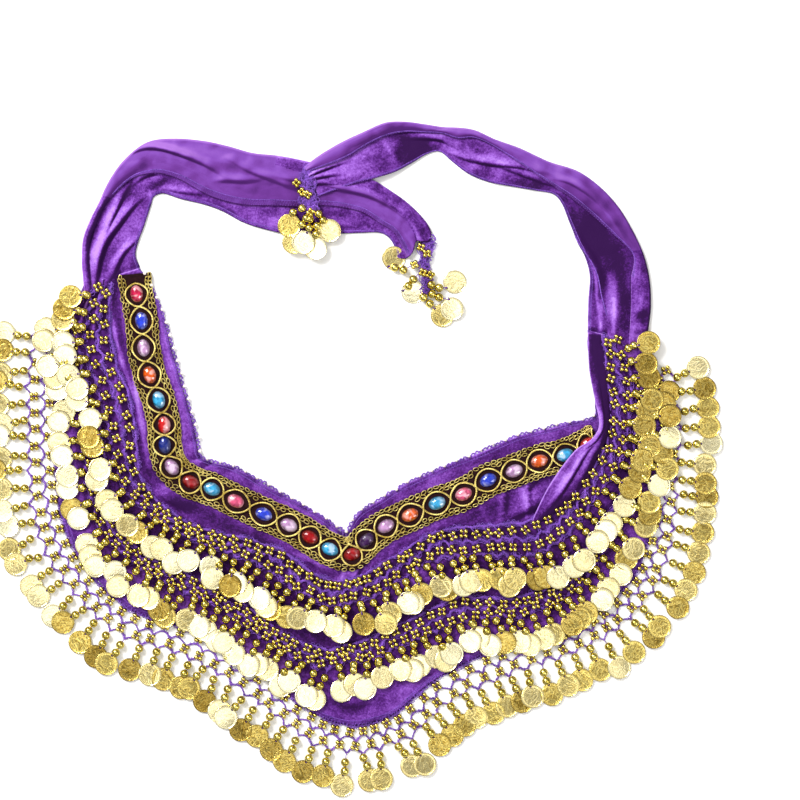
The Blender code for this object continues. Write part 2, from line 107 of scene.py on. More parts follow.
def mesh_of(name, shape):
    """A mesh from the shape that the mesh operators have made."""
    mesh = bpy.data.meshes.new(name)
    shape.to_mesh(mesh)
    shape.free()
    return mesh


camera_data = bpy.data.cameras.new("top_camera")
camera_data.sensor_width = SENSOR
camera_data.lens = SENSOR * CAMERA_HEIGHT / VIEW_WIDTH
camera = add_object("top_camera", camera_data)
camera.location = (*VIEW_CENTRE, CAMERA_HEIGHT)
bpy.context.scene.camera = camera

table = bmesh.new()
bmesh.ops.create_grid(table, x_segments=1, y_segments=1, size=TABLE_SIZE)
bmesh.ops.translate(table, verts=table.verts[:], vec=(0, 0, -TABLE_DROP))
table_top = add_object("table", mesh_of("table", table))
table_white, tree, surface = new_material("table_white")
feed(surface, Base_Color=(0.90, 0.90, 0.90, 1), Roughness=0.9)
table_top.data.materials.append(table_white)


def soft_box(name, place, width, strength):
    """A square lamp that faces the middle of the table."""
    light = bpy.data.lights.new(name, "AREA")
    light.shape = "RECTANGLE"
    light.size = light.size_y = width
    light.energy = strength
    item = add_object(name, light)
    item.location = place
    item.rotation_euler = (-Vector(place)).to_track_quat("-Z", "Y").to_euler()


soft_box("over_box", (-1.25, 1.35, 1.9), 1.1, 88)
soft_box("side_box", (1.6, -0.9, 1.5), 0.8, 14)
studio = bpy.data.worlds.new("studio")
studio.use_nodes = True
room = studio.node_tree
towards = node_of(room, "ShaderNodeTexCoord").outputs["Generated"]
rising = node_of(room, "ShaderNodeSeparateXYZ", Vector=towards).outputs["Z"]

# Bright bands round the room; their heights over the horizon are given as sines.
round_gap = ranged(room, rising, 0.9700, 0.9815, 1.0, 0.0)
sideways = vector_maths(room, "DOT_PRODUCT", "Value", i0=towards, i1=(-1.2, -1.0, 0.0))
ring = maths(room, "MULTIPLY", round_gap, ranged(room, rising, 0.9200, 0.9400, 0.0, 1.0))
ring = maths(room, "MULTIPLY", ring, maths(room, "ADD", sideways, 0.90))
wide_box = maths(room, "MULTIPLY", round_gap, ranged(room, rising, 0.58, 0.76, 0.0, 0.66))
glow = maths(room, "ADD", ring, wide_box)
for band in ((0.14, 0.30, 0.80, 0.10), (0.54, 0.68, 0.0, 0.27)):
    glow = maths(room, "ADD", glow, ranged(room, rising, *band))
feed(room.nodes["Background"], Color=(1.0, 0.985, 0.96, 1), Strength=glow)
bpy.context.scene.world = studio
bpy.context.scene.view_settings.view_transform = "Standard"

# ---- velvet body ------------------------------------------------------------------------------------
# One boomerang of crushed panne velvet, cut in a single piece. The pile is pressed in all directions,
# so its colour runs from nearly black to bright violet; much of that is painted light and shade on its
# folds and painted shade under the nets. It lies in soft folds.
MM = 0.001                 # one millimetre in metres; most sizes below are in millimetres
VELVET_WALL = 1.2
VELVET_LOW = 0.9           # the middle of the cloth where it lies flat
BODY_CRUMPLE = (16, 1.1)   # width and height of the small hills
WAIST_WAVE = 2.2           # how far the waist edge strays along the cloth
WAIST_RIPPLE = 0.9         # and how high it ripples
SHIFT = (0.6, -1.1)        # from the millimetres of the tables to the scarf's middle at the origin
Section = namedtuple("Section", "waist_x waist_y hem_x hem_y upper_top upper_chain lower_top "
                                "lower_chain net reach")
SECTIONS = [Section(*row) for row in (
    (-165, 147, -208, 134, .50, .78, .86, .97, 18, 15), (-155, 129, -216, 115, .54, .80, .88, .97, 19, 15),
    (-145, 103, -225, 92, .54, .78, .85, .95, 21, 15), (-138, 78, -228, 67, .49, .73, .79, .89, 22, 15),
    (-132, 57, -229, 44, .43, .66, .72, .83, 22, 15), (-126, 36, -229, 16, .42, .61, .67, .81, 22, 15),
    (-121, 16, -228, -13, .43, .60, .66, .81, 22, 15), (-118, 2, -226, -35, .42, .57, .67, .80, 22, 16),
    (-109, -2, -217, -66, .42, .53, .70, .80, 21, 17), (-94, -6, -199, -91, .42, .51, .70, .79, 20, 18),
    (-76, -15, -172, -116, .39, .48, .68, .77, 20, 19), (-57, -26, -142, -126, .35, .46, .68, .78, 20, 20),
    (-38, -37, -107, -140, .31, .45, .71, .82, 20, 20), (-20, -48, -66, -168, .32, .46, .72, .82, 20, 20),
    (-10, -55, -30, -196, .28, .41, .65, .75, 20, 20), (-7, -57, -5, -205, .25, .37, .58, .68, 20, 20),
    (-4, -54, 14, -203, .25, .37, .58, .68, 20, 20), (5, -41, 32, -196, .29, .41, .60, .70, 20, 20),
    (24, -29, 60, -172, .31, .43, .65, .76, 20, 20), (49, -15, 97, -152, .30, .44, .67, .79, 20, 20),
    (76, -4, 134, -139, .35, .52, .77, .87, 20, 20), (103, 8, 168, -127, .42, .60, .78, .87, 20, 20),
    (128, 18, 193, -113, .41, .57, .72, .81, 19, 20), (159, 26, 216, -89, .35, .48, .63, .73, 18, 18),
    (183, 31, 226, -62, .24, .42, .58, .69, 17, 16), (186, 41, 231, -32, .23, .48, .62, .75, 16, 15),
    (185, 53, 233, -5, .25, .56, .66, .80, 15, 15), (181, 70, 235, 26, .27, .61, .70, .84, 15, 15),
    (180, 88, 231, 60, .27, .62, .72, .86, 15, 15), (180, 99, 224, 88, .28, .62, .74, .88, 14, 15),
)]
LAST_SECTION = len(SECTIONS) - 1

# A fold runs between two places; it is steep towards greater shares, or away from them if its width
# is negative. A brush stroke is painted light (tone above 0) or painted shade (tone below 0) on the pile.
Fold = namedtuple("Fold", "first last first_share last_share width height")
Brush = namedtuple("Brush", "place share long wide tone")
STEEP = 3.4
BODY_FOLDS = [Fold(*row) for row in (
    (2.0, 7.5, .35, .33, 9, 4.0), (2.5, 7.0, .50, .50, 8, 2.5), (7.6, 9.4, .38, .36, 9, 3.5),
    (12.4, 14.6, .27, .22, 9, 4.5), (17.0, 19.6, .55, .56, 12, 2.5), (9.5, 12.0, .58, .58, 12, 2.5),
    (20.4, 22.4, .37, .36, 9, 3.5), (0.6, 5.2, .54, .33, 4, 2.6), (4.4, 8.0, .49, .38, 4, 2.6),
    (0.2, 3.2, .10, .22, 4, 1.4), (-1.6, 2.2, .76, .86, 4, 2.4), (-1.2, 2.4, .62, .70, 4, 2.2),
    (-1.4, 2.0, .44, .56, 4, 2.0), (15.2, 17.2, .30, .20, 6, 1.6), (20.40, 21.20, .44, .13, 4, 2.8),
    (21.05, 21.80, .47, .17, 4, 2.8), (27.2, 30.6, .46, .47, 4.5, 2.4), (27.4, 30.4, .28, .28, 4, 2.0),
    (21.2, 22.8, .30, .16, 5, 1.6), (13.6, 16.8, .88, .90, 6, 1.0), (9.6, 12.6, .92, .88, 5, 1.2),
    (17.4, 20.0, .95, .92, 5, 1.0),
)]


def on_table_mm(x, y, z):
    """A point in millimetres on the table, with the scarf's middle at the origin."""
    return Vector(((x + SHIFT[0]) * MM, (y + SHIFT[1]) * MM, z * MM))


def clamp(value):
    return min(1.0, max(0.0, value))


def unit(vector):
    return vector / np.linalg.norm(vector)


def through(rows, place):
    """Catmull-Rom curve through the rows of a table, at a place counted in rows."""
    rows = np.asarray(rows, dtype=float)
    last = len(rows) - 1
    start = int(min(max(math.floor(place), 0), last - 1))
    t = place - start
    before, here, there, after = (rows[min(max(start + step, 0), last)] for step in (-1, 0, 1, 2))
    if start == 0:
        before = 2 * here - there
    if start == last - 1:
        after = 2 * there - here
    return 0.5 * ((2 * here) + (there - before) * t + (2 * before - 5 * here + 4 * there - after) * t ** 2
                  + (3 * here - before - 3 * there + after) * t ** 3)


@lru_cache(maxsize=None)
def section_at(place):
    return Section(*through(SECTIONS, place))


def on_section(place, share):
    cut = section_at(place)
    return np.array([cut.waist_x + (cut.hem_x - cut.waist_x) * share,
                     cut.waist_y + (cut.hem_y - cut.waist_y) * share])


def fold_lift(folds, place, share, length):
    """Height of a family of ridges at one point of a cloth."""
    total = 0.0
    for fold in folds:
        along = (place - fold.first) / (fold.last - fold.first)
        if 0.0 < along < 1.0:
            crest = fold.first_share + (fold.last_share - fold.first_share) * along
            across = (share - crest) * length / fold.width
            across *= STEEP if across > 0 else 1.0
            total += fold.height * math.sin(math.pi * along) ** 2 * math.exp(-across * across)
    return total


def stroke_light_and_shade(strokes, place, share):
    """The painted light and shade of the strokes at one point of a cloth."""
    return sum(stroke.tone * math.exp(-((place - stroke.place) / stroke.long) ** 2
                                      - ((share - stroke.share) / stroke.wide) ** 2) for stroke in strokes)


def crumple(x, y, size, height):
    """Small soft hills of cloth that doesn't lie quite flat."""
    return height * max(0.0, noise.noise(Vector((x / size, y / size, 3.7))) + 0.15)


def piece_of(item, slot, *nodes):
    """Attaches an object to the scarf's root body and hides the nodes it stands for; slot is not used."""
    if nodes:
        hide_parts(*nodes)
    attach(item, "root")
    return item


def make_cloth(name, slot, node, grid_size, place, wall, size, materials, is_back=None, nap=None):
    """A cloth sheet: a grid moved by a function of its two shares. Its UV map is in metres of cloth.

    is_back says which faces take the second material, and nap gives the painted light and shade of the pile.
    """
    grid = bmesh.new()
    uv_layer = grid.loops.layers.uv.new("cloth")
    bmesh.ops.create_grid(grid, x_segments=grid_size[0], y_segments=grid_size[1], size=1.0, calc_uvs=True)
    light_and_shade_layer = grid.verts.layers.float.new("nap")
    for face in grid.faces:
        along, across = (sum(loop[uv_layer].uv[axis] for loop in face.loops) / 4 for axis in (0, 1))
        face.material_index = 1 if is_back and is_back(along, across) else 0
        face.smooth = True
        for loop in face.loops:
            loop[uv_layer].uv = (loop[uv_layer].uv.x * size[0], loop[uv_layer].uv.y * size[1])
    for corner in grid.verts:
        along, across = (corner.co.x + 1) / 2, (corner.co.y + 1) / 2
        corner[light_and_shade_layer] = nap(along, across) if nap else 0.0
        corner.co = place(along, across)
    grid.normal_update()
    if sum(face.normal.z * face.calc_area() for face in grid.faces) < 0:
        bmesh.ops.reverse_faces(grid, faces=grid.faces[:])
    item = add_object(name, mesh_of(name, grid))
    for material in materials:
        item.data.materials.append(material)
    solidify = item.modifiers.new("wall", "SOLIDIFY")
    solidify.thickness = wall * MM
    solidify.offset = 0.0
    return piece_of(item, slot, node)


def object_place(tree):
    return node_of(tree, "ShaderNodeTexCoord").outputs["Object"]


def uv_of(tree, name):
    return node_of(tree, "ShaderNodeUVMap", uv_map=name).outputs["UV"]


def attribute_of(tree, name):
    return node_of(tree, "ShaderNodeAttribute", attribute_name=name, attribute_type="GEOMETRY")


def noise_of(tree, place, scale, detail, **more):
    return node_of(tree, "ShaderNodeTexNoise", Vector=place, Scale=scale, Detail=detail,
                   **more).outputs["Fac"]


def weighed(tree, first, share, second, other_share):
    """Two values added, each times its share."""
    return maths(tree, "MULTIPLY_ADD", first, share, maths(tree, "MULTIPLY", second, other_share))


def ramp_of(tree, value, *stops):
    """A colour for a value, from stops that each have a spot and a colour."""
    ramp = node_of(tree, "ShaderNodeValToRGB", Fac=value)
    elements = ramp.color_ramp.elements
    while len(elements) < len(stops):
        elements.new(0.5)
    for element, (spot, colour) in zip(elements, stops):
        element.position = spot
        element.color = (*colour, 1)
    return ramp.outputs["Color"]


def bumped(tree, height, strength, distance):
    return node_of(tree, "ShaderNodeBump", Strength=strength, Distance=distance,
                   Height=height).outputs["Normal"]


def make_pile_group():
    """Crushed pile: random patches, streaks and flecks, with painted light and shade from strokes and slope.
    """
    group = bpy.data.node_groups.new("crushed_pile_with_painted_shade", "ShaderNodeTree")
    group.interface.new_socket("Cloth", in_out="INPUT", socket_type="NodeSocketVector")
    for name in ("Nap", "Patches", "Streaks", "Flecks", "Slope", "Lean", "Height"):
        way = "OUTPUT" if name in ("Lean", "Height") else "INPUT"
        group.interface.new_socket(name, in_out=way, socket_type="NodeSocketFloat")
    entry = node_of(group, "NodeGroupInput").outputs
    normal = node_of(group, "ShaderNodeNewGeometry").outputs["Normal"]
    slope = node_of(group, "ShaderNodeSeparateXYZ", Vector=normal).outputs
    place = object_place(group)
    stretched = vector_maths(group, "MULTIPLY", 0, i0=entry["Cloth"], i1=(60.0, 230.0, 1.0))
    parts = {
        "Patches": noise_of(group, place, 68.0, 6.0, Roughness=0.66, Distortion=1.0),
        "Streaks": noise_of(group, stretched, 1.0, 3.0, Roughness=0.65, Distortion=0.6),
        "Flecks": noise_of(group, place, 560.0, 3.0, Roughness=0.75, Distortion=0.5),
    }
    # Painted shade: the side of each fold that faces a light in the upper left is lighter, the other darker.
    towards_light = weighed(group, slope["Y"], 0.7, slope["X"], -0.7)
    total = maths(group, "MULTIPLY_ADD", towards_light, entry["Slope"], entry["Nap"])
    total = maths(group, "ADD", total, 0.5)
    for name, part in parts.items():
        total = maths(group, "MULTIPLY_ADD", maths(group, "SUBTRACT", part, 0.5), entry[name], total)
    height = maths(group, "MULTIPLY_ADD", parts["Flecks"], 0.4, parts["Streaks"])
    node_of(group, "NodeGroupOutput", Lean=total, Height=height)
    return group


PILE = make_pile_group()


def pile_material(name, stops, roughness, **shares):
    material, tree, surface = new_material(name)
    pile = node_of(tree, "ShaderNodeGroup", node_tree=PILE, Cloth=uv_of(tree, "cloth"),
                   Nap=attribute_of(tree, "nap").outputs["Fac"], **shares).outputs
    feed(surface, Base_Color=ramp_of(tree, pile["Lean"], *stops), Roughness=roughness, Sheen_Weight=0.06,
         Normal=bumped(tree, pile["Height"], 0.4, 0.0010), Sheen_Roughness=0.4,
         Sheen_Tint=(0.7, 0.45, 1.0, 1), Specular_IOR_Level=0.08)
    return material


VELVET = pile_material("panne_velvet", [(0.28, (0.024, 0.003, 0.050)), (0.43, (0.066, 0.011, 0.145)),
                                        (0.55, (0.135, 0.034, 0.275)), (0.70, (0.240, 0.085, 0.460)),
                                        (0.90, (0.400, 0.205, 0.660))],
                       0.75, Patches=0.46, Streaks=0.28, Flecks=0.62, Slope=0.70)
# Strokes of painted light and shade on the body.
BODY_BRUSH = [Brush(*row) for row in (
    (3.4, .36, 1.8, .045, .20), (3.6, .27, 2.0, .04, -.14), (4.5, .46, 2.5, .04, -.12),
    (3.0, .04, 2.2, .06, .12), (6.6, .30, 1.0, .06, -.10), (8.4, .36, 1.0, .05, -.16),
    (10.2, .10, 1.2, .06, -.10), (14.2, .24, 0.8, .04, .16), (12.6, .08, .9, .06, .10),
    (17.2, .07, 1.2, .06, -.14), (19.6, .10, .6, .06, .10), (21.2, .07, .9, .06, -.12),
    (20.8, .30, 1.2, .10, -.14), (5.4, .36, 2.4, .05, -.10), (21.3, .36, .16, .12, .16),
    (20.2, .36, .12, .10, .14), (11.0, .33, 2.2, .06, -.20), (14.7, .26, .6, .05, .16),
    (18.5, .33, 2.0, .06, -.20), (10.8, .46, 1.4, .04, -.10), (12.2, .93, 1.8, .05, .16),
    (18.0, .95, 1.6, .05, .10), (8.2, .93, 1.4, .04, .08), (15.0, .90, 1.0, .05, -.12),
    (23.4, .92, 1.2, .06, .06), (25.5, .90, 1.6, .06, -.06),
)]


def body_point(along, across):
    place = along * LAST_SECTION
    x, y = on_section(place, across)
    run = on_section(place, 1.0) - on_section(place, 0.0)
    edge = min(1.0, 6 * across, 10 * (1 - across)) * min(1.0, 12 * along, 12 * (1 - along))
    z = fold_lift(BODY_FOLDS, place, across, math.hypot(*run)) + edge * crumple(x, y, *BODY_CRUMPLE)
    wave = WAIST_WAVE * noise.noise(Vector((place * 0.9, 0.3, 8.2))) * max(0.0, 1 - 9 * across)
    x, y = np.array([x, y]) + wave * unit(run)
    ripple = WAIST_RIPPLE * max(0.0, 1 - 8 * across) * abs(math.sin(place * 3.1))
    return on_table_mm(x, y, VELVET_LOW + z + ripple)


def body_light_and_shade(along, across):
    """Painted light and shade of the body: its strokes, and painted shade under the nets and coins on it."""
    place = along * LAST_SECTION
    cut = section_at(place)
    upper = clamp((across - cut.upper_top + 0.01) * 30)
    beyond = clamp((across - cut.lower_chain - 0.02) * 30)
    # Painted shade where the nets and coins lie on the velvet.
    return stroke_light_and_shade(BODY_BRUSH, place, across) - 0.15 * upper * (1 - beyond)


body = make_cloth("velvet_body", "velvet", "panel", (420, 92), body_point, VELVET_WALL, (0.62, 0.13),
                  [VELVET], nap=body_light_and_shade)

# ---- waist ties -------------------------------------------------------------------------------------
# Two long bands of the same velvet with a smooth knitted back. Each lies folded on itself along one
# edge, so the back shows as a paler strip, and the raw edges are overlocked.
TieSection = namedtuple("TieSection", "fold_x fold_y edge_x edge_y turned lift")
LEFT_TIE = [TieSection(*row) for row in (
    (-207.6, 134.8, -164.8, 147.8, .12, 0), (-209, 152, -168, 157, .12, 0), (-208, 169, -166, 167, .12, 0),
    (-203, 183, -162, 178, .13, 0), (-196, 197, -158, 190, .14, 0), (-189, 212, -156, 196, .25, 0),
    (-179, 227, -154.5, 201, .40, 0), (-166, 239, -151, 203.5, .55, 0), (-153, 245, -145, 204, .62, 0),
    (-134, 246, -133, 200, .68, 0), (-114, 244, -116, 196, .82, 0), (-96, 240, -102, 191, .84, 0),
    (-78, 235, -85, 182, .75, 0), (-59, 233, -66, 176, .67, 0), (-38, 229, -43, 172, .61, 0),
    (-13, 223, -18, 173, .57, 0), (11, 216, 5, 174, .63, 0), (28, 206, 20, 174, .80, 0),
    (43, 195, 28, 169, .80, 0), (55, 182, 33, 159, .80, 0), (62, 170, 36, 151, .80, 0),
)]
RIGHT_TIE = [TieSection(*row) for row in (
    (-38, 224, -27, 202, .16, 5.2), (-26, 233, -13, 207, .30, 5.2), (-10, 242.5, 2, 212, .36, 5.2),
    (8, 251, 17, 216, .27, 5.0), (24, 258, 32, 221, .25, 2.4), (39, 259, 45, 228, .24, .6),
    (55, 257, 56, 234.5, .26, 0), (68, 255, 66, 236.5, .24, 0), (80, 254.5, 75.5, 229, .30, 0),
    (93, 252.5, 88, 219.5, .16, 0), (108.5, 245.5, 104, 213, .15, 0), (128, 238.5, 122.5, 209.5, .34, 0),
    (149.5, 228.5, 140, 206.5, .56, 0), (172, 221, 153, 204, .80, 0), (189.5, 208.5, 160, 196.5, .72, 0),
    (203.5, 193, 165.5, 183, .54, 0), (214, 175.5, 172, 167, .34, 0), (222.5, 157, 178, 155, .17, 0),
    (227, 138, 181.5, 141, .30, 0), (228, 118.5, 180.5, 124, .31, 0), (226.5, 103, 180, 110.5, .30, 0),
    (224.2, 88.6, 180, 99.6, .28, 0),
)]
LEFT_CREASES = [Fold(*row) for row in (
    (-2.2, 5.9, -.02, .84, 6.0, 4.2), (1.6, 6.0, .36, .40, 4.0, 2.2), (-1.6, 2.8, .20, 1.10, 5.0, 2.4),
    (6.0, 11.4, -.08, .52, 3.6, 4.2), (5.4, 8.4, .46, .66, 4.0, 1.4), (10.2, 12.8, .62, .30, 4.0, 1.8),
    (10.6, 14.6, .16, .44, 4.0, 1.6), (12.2, 19.4, .26, .34, 4.5, 2.4), (16.6, 22.4, .24, .38, 4.0, 3.0),
    (17.8, 22.6, .62, .44, 3.6, 2.2), (18.6, 22.6, .90, .50, 3.4, 1.6), (12.8, 16.4, .70, .92, 5.0, 1.2),
    (7.4, 10.4, .92, .84, 3.0, 1.4),
)]
RIGHT_CREASES = [Fold(*row) for row in (
    (-1.5, 2.2, .20, .46, 3.0, 2.6), (-1.5, 1.8, .16, .72, 3.0, 2.2), (-1.5, 1.4, .14, .96, 3.0, 1.8),
    (3.4, 4.6, .10, 1.05, 6.0, 2.2), (4.3, 8.8, .36, .60, 4.0, 2.2), (7.0, 12.6, .88, .30, 4.0, 2.6),
    (9.4, 13.4, .50, .76, 3.6, 1.8), (12.2, 15.4, .52, .20, 4.0, 2.0), (14.4, 16.8, .30, .16, 3.6, 1.6),
    (14.6, 20.4, 1.02, .78, 4.0, 2.6), (16.8, 23.0, .56, .50, 8.5, 1.7), (17.4, 23.4, .78, .72, 7.5, 1.2),
    (18.6, 22.8, .92, .96, 6.5, 1.0),
)]
# Strokes of painted light and shade on the two ties.
LEFT_BRUSH = [Brush(*row) for row in (
    (2.6, .80, 1.5, .16, .12), (1.4, .26, 1.6, .08, .12), (2.6, .04, 2.6, .07, -.14),
    (2.3, .13, .6, .07, -.20), (-.2, .42, .9, .14, -.22), (5.0, .40, .7, .22, -.24),
    (3.9, .30, .6, .1, .10), (6.0, .90, .5, .10, .20), (7.4, .80, .8, .06, -.20), (8.4, .92, .9, .06, .18),
    (6.9, .30, .5, .16, -.16), (9.2, .14, 2.4, .10, .10), (9.6, .50, 1.4, .14, .02),
    (11.6, .30, 1.0, .2, -.10), (14.2, .45, 1.2, .3, -.14), (15.4, .46, 1.6, .10, .10),
    (17.6, .10, 1.6, .10, -.10), (19.6, .18, .8, .1, .10), (19.2, .60, 1.0, .2, -.14),
    (13.4, .86, 1.4, .1, .12), (11.2, .94, .8, .06, -.10),
)]
RIGHT_BRUSH = [Brush(*row) for row in (
    (1.9, .64, 1.1, .30, .17), (5.35, .72, .95, .55, -.42), (2.4, .30, 1.6, .3, .08),
    (3.95, .60, .30, .4, .20), (3.5, .08, 3.0, .12, -.10), (7.9, .55, 1.1, .3, .10),
    (6.2, .30, .8, .12, .10), (9.4, .40, .8, .25, -.06), (10.4, .55, .7, .25, .14),
    (11.7, .84, .9, .18, -.26), (12.4, .30, 1.0, .10, .10), (14.0, .16, 1.0, .10, -.10),
    (15.6, .34, .9, .10, .08), (16.0, .68, 1.9, .42, -.38), (18.9, .66, 1.3, .10, .26),
    (19.8, .80, 1.2, .06, .12), (18.6, .50, 2.6, .5, -.10), (18.8, .44, 1.0, .07, -.14),
    (19.4, .14, 1.6, .12, .12), (19.6, .12, .35, .12, -.34), (19.3, .58, 1.3, .11, .16),
)]
# The rows, creases and strokes of painted light and shade of each tie, the places of its two ends, and how it
# is held.
Tie = namedtuple("Tie", "rows creases strokes ends flat area rests_on")
TIES = {
    "left": Tie(LEFT_TIE, LEFT_CREASES, LEFT_BRUSH, (-1.25, 20.0), (0.085, 0.430), 0.0230, ["table"]),
    "right": Tie(RIGHT_TIE, RIGHT_CREASES, RIGHT_BRUSH, (0.0, 22.4), (0.060, 0.430), 0.0162,
                 ["table", "left_tie_band"]),
}
TIE_WALL = 1.0
TIE_LOW = 0.8
TIE_FLOOR = 0.65          # the middle of the cloth never comes lower, so its underside clears the table
TURN_HEIGHT = 3.0
TURN_RADIUS = TURN_HEIGHT / 2
SMALLEST_FLAP = TURN_RADIUS + 2.5
FLAP_EDGE = 1.9            # height of the turned layer at its free edge
FLAP_SWELL = 0.5           # how much it swells before that edge
TIE_CRUMPLE = (11, 0.9)
NECK_PULL = 6.0            # how far the left tie's end is drawn up in its middle
LOBE_PULL = 5.0            # and at its two corners
SEAM = {"left": 0.35, "right": 20.65}      # the places where the ties go under the body
LOWER_SHARE = 0.46         # of the grid across, for the lower layer, then the turn, then the upper one
TURN_SHARE = 0.14
UPPER_START = LOWER_SHARE + TURN_SHARE

VELVET_BACK = pile_material("velvet_back", [(0.28, (0.058, 0.011, 0.115)), (0.44, (0.115, 0.028, 0.220)),
                                            (0.56, (0.162, 0.052, 0.325)), (0.80, (0.270, 0.112, 0.440))],
                            0.8, Patches=0.10, Streaks=0.12, Flecks=0.07, Slope=0.9)


def tie_place(side, along):
    """Place along a tie. The end at the body runs on a little, under the velvet it is sewn to."""
    first, last = TIES[side].ends
    return first + (last - first) * along


@lru_cache(maxsize=None)
def tie_row(side, place):
    return TieSection(*through(TIES[side].rows, place))


def sewn_depth(side, place, share):
    """0 on the tie, rising to 1 where it has gone under the body, later on the side of the hem."""
    late = 0.85 * (1 - clamp((share - 0.50) / 0.16))
    if side == "left":
        inside = clamp((SEAM["left"] - late - place) / 0.7)
    else:
        inside = clamp((place - SEAM["right"] - 1.3 * late) / 0.8)
    return inside * inside * (3 - 2 * inside)


def tie_point(side, along, across):
    """The flat hook of a tie's section: the lower layer, a round turn, and the layer turned over."""
    place = tie_place(side, along)
    row = tie_row(side, place)
    edge = np.array([row.edge_x, row.edge_y])
    fold = np.array([row.fold_x, row.fold_y])
    width = np.linalg.norm(edge - fold)
    if across < LOWER_SHARE:
        distance = width + (TURN_RADIUS - width) * across / LOWER_SHARE
        rise = 0.0
    elif across < UPPER_START:
        angle = math.pi * (across - LOWER_SHARE) / TURN_SHARE
        distance = TURN_RADIUS - TURN_RADIUS * math.sin(angle)
        rise = TURN_RADIUS * (1 - math.cos(angle))
    else:
        upper = (across - UPPER_START) / (1 - UPPER_START)
        distance = TURN_RADIUS + (max(width * row.turned, SMALLEST_FLAP) - TURN_RADIUS) * upper
        rise = TURN_HEIGHT - (TURN_HEIGHT - FLAP_EDGE) * upper ** 3 + FLAP_SWELL * math.sin(math.pi * upper)
    x, y = fold + (edge - fold) / width * distance
    share = distance / width
    calm = min(1.0, 8 * along, 8 * (1 - along))
    rise += fold_lift(TIES[side].creases, place, share, width) + calm * crumple(x, y, *TIE_CRUMPLE)
    if side == "left":         # the free end is drawn up between two round lobes
        near_end = math.exp(-((place - 20.0) / 0.8) ** 2)
        corner = max(0.0, abs(share - 0.5) - 0.30) / 0.20
        neck = math.exp(-((share - 0.42) / 0.15) ** 2)
        pull = near_end * (NECK_PULL * neck + LOBE_PULL * corner ** 2)
        x, y = x - 0.50 * pull, y + 0.86 * pull
    over_body = clamp((0.3 - place) / 0.5 if side == "left" else (place - 20.6) / 0.6)
    sunk = sewn_depth(side, place, share)      # under the body the cloth is gathered in and lies flat
    middle = (edge + fold) / 2
    x, y = middle + ((x, y) - middle) * (1 - 0.12 * sunk ** 4)
    height = TIE_LOW + row.lift + rise * (1 - 0.45 * over_body) + 1.6 * over_body
    return on_table_mm(x, y, max(height * (1 - sunk) - 1.4 * sunk, TIE_FLOOR))


def share_of(side, along, across):
    """How far a point of the folded band lies from its folded edge, as a share of the width."""
    row = tie_row(side, tie_place(side, along))
    width = math.hypot(row.edge_x - row.fold_x, row.edge_y - row.fold_y)
    if across < LOWER_SHARE:
        return 1 - across / LOWER_SHARE
    upper = (across - UPPER_START) / (1 - UPPER_START)
    return max(0.0, upper) * max(row.turned, SMALLEST_FLAP / width)


def shows_back(side, along, across):
    """The back shows on the turned layer, as far as the place where each band twists over."""
    if across <= LOWER_SHARE + TURN_SHARE / 2:
        return False
    place = tie_place(side, along)
    if side == "right":
        return place < 16.8
    return place > 4.4 and (place < 13.0 or share_of(side, along, across) > 0.10 + 0.045 * (place - 13.0))


def tie_light_and_shade(side, along, across):
    return stroke_light_and_shade(TIES[side].strokes, tie_place(side, along), share_of(side, along, across))


for side, tie in TIES.items():
    band = make_cloth(f"{side}_tie_band", "velvet", f"{side}_tie", (260, 118), partial(tie_point, side),
                      TIE_WALL, tie.flat[::-1], [VELVET, VELVET_BACK], partial(shows_back, side),
                      partial(tie_light_and_shade, side))

# ---- hip fold ---------------------------------------------------------------------------------------
# The velvet of the right hip is folded down over the end of the braid. It is cut in one with the body,
# and its folded edge is a soft round roll.
HipSection = namedtuple("HipSection", "inner_x inner_y outer_x outer_y lift")
HIP_FOLD = [HipSection(*row) for row in (
    (136.5, -50, 141, -50, 2.6), (141, -39, 152, -43, 4.4), (149, -22.5, 168, -31, 6.2),
    (159, -7.2, 181, -14, 7.4), (170.5, 7.0, 189.5, 2.5, 9.4), (182.5, 15.2, 194.5, 14, 9.6),
    (188.6, 26.5, 197.5, 29, 7.6), (185.6, 45.4, 197, 47, 5.0), (181.2, 70, 195.5, 71, 3.6),
    (180.3, 97.5, 192, 96, 2.6),
)]
HIP_CREASES = [Fold(*row) for row in (
    (0.6, 5.2, .62, .40, 3.0, 1.8), (1.8, 6.4, .86, .66, 3.0, 1.6), (3.4, 8.6, .30, .45, 2.6, 1.5),
)]
# Strokes of painted light and shade on the hip fold.
HIP_BRUSH = [Brush(*row) for row in (
    (2.6, .35, 1.0, .30, .16), (4.4, .40, .9, .28, .14), (1.2, .60, .8, .3, -.16),
    (3.8, .78, 2.2, .26, .22), (6.3, .74, .9, .24, -.30), (8.0, .56, 1.8, .55, -.36),
    (6.7, .10, 1.1, .10, .14),
)]
HIP_LAST = len(HIP_FOLD) - 1
HIP_EDGE = 1.7             # height of the cloth at the edge away from the roll
HIP_CRUMPLE = (9, 0.8)
ROLL_SHARE = 0.12          # of the width, for the roll
ROLL_DROP = 1.5            # how far the cloth comes down in it


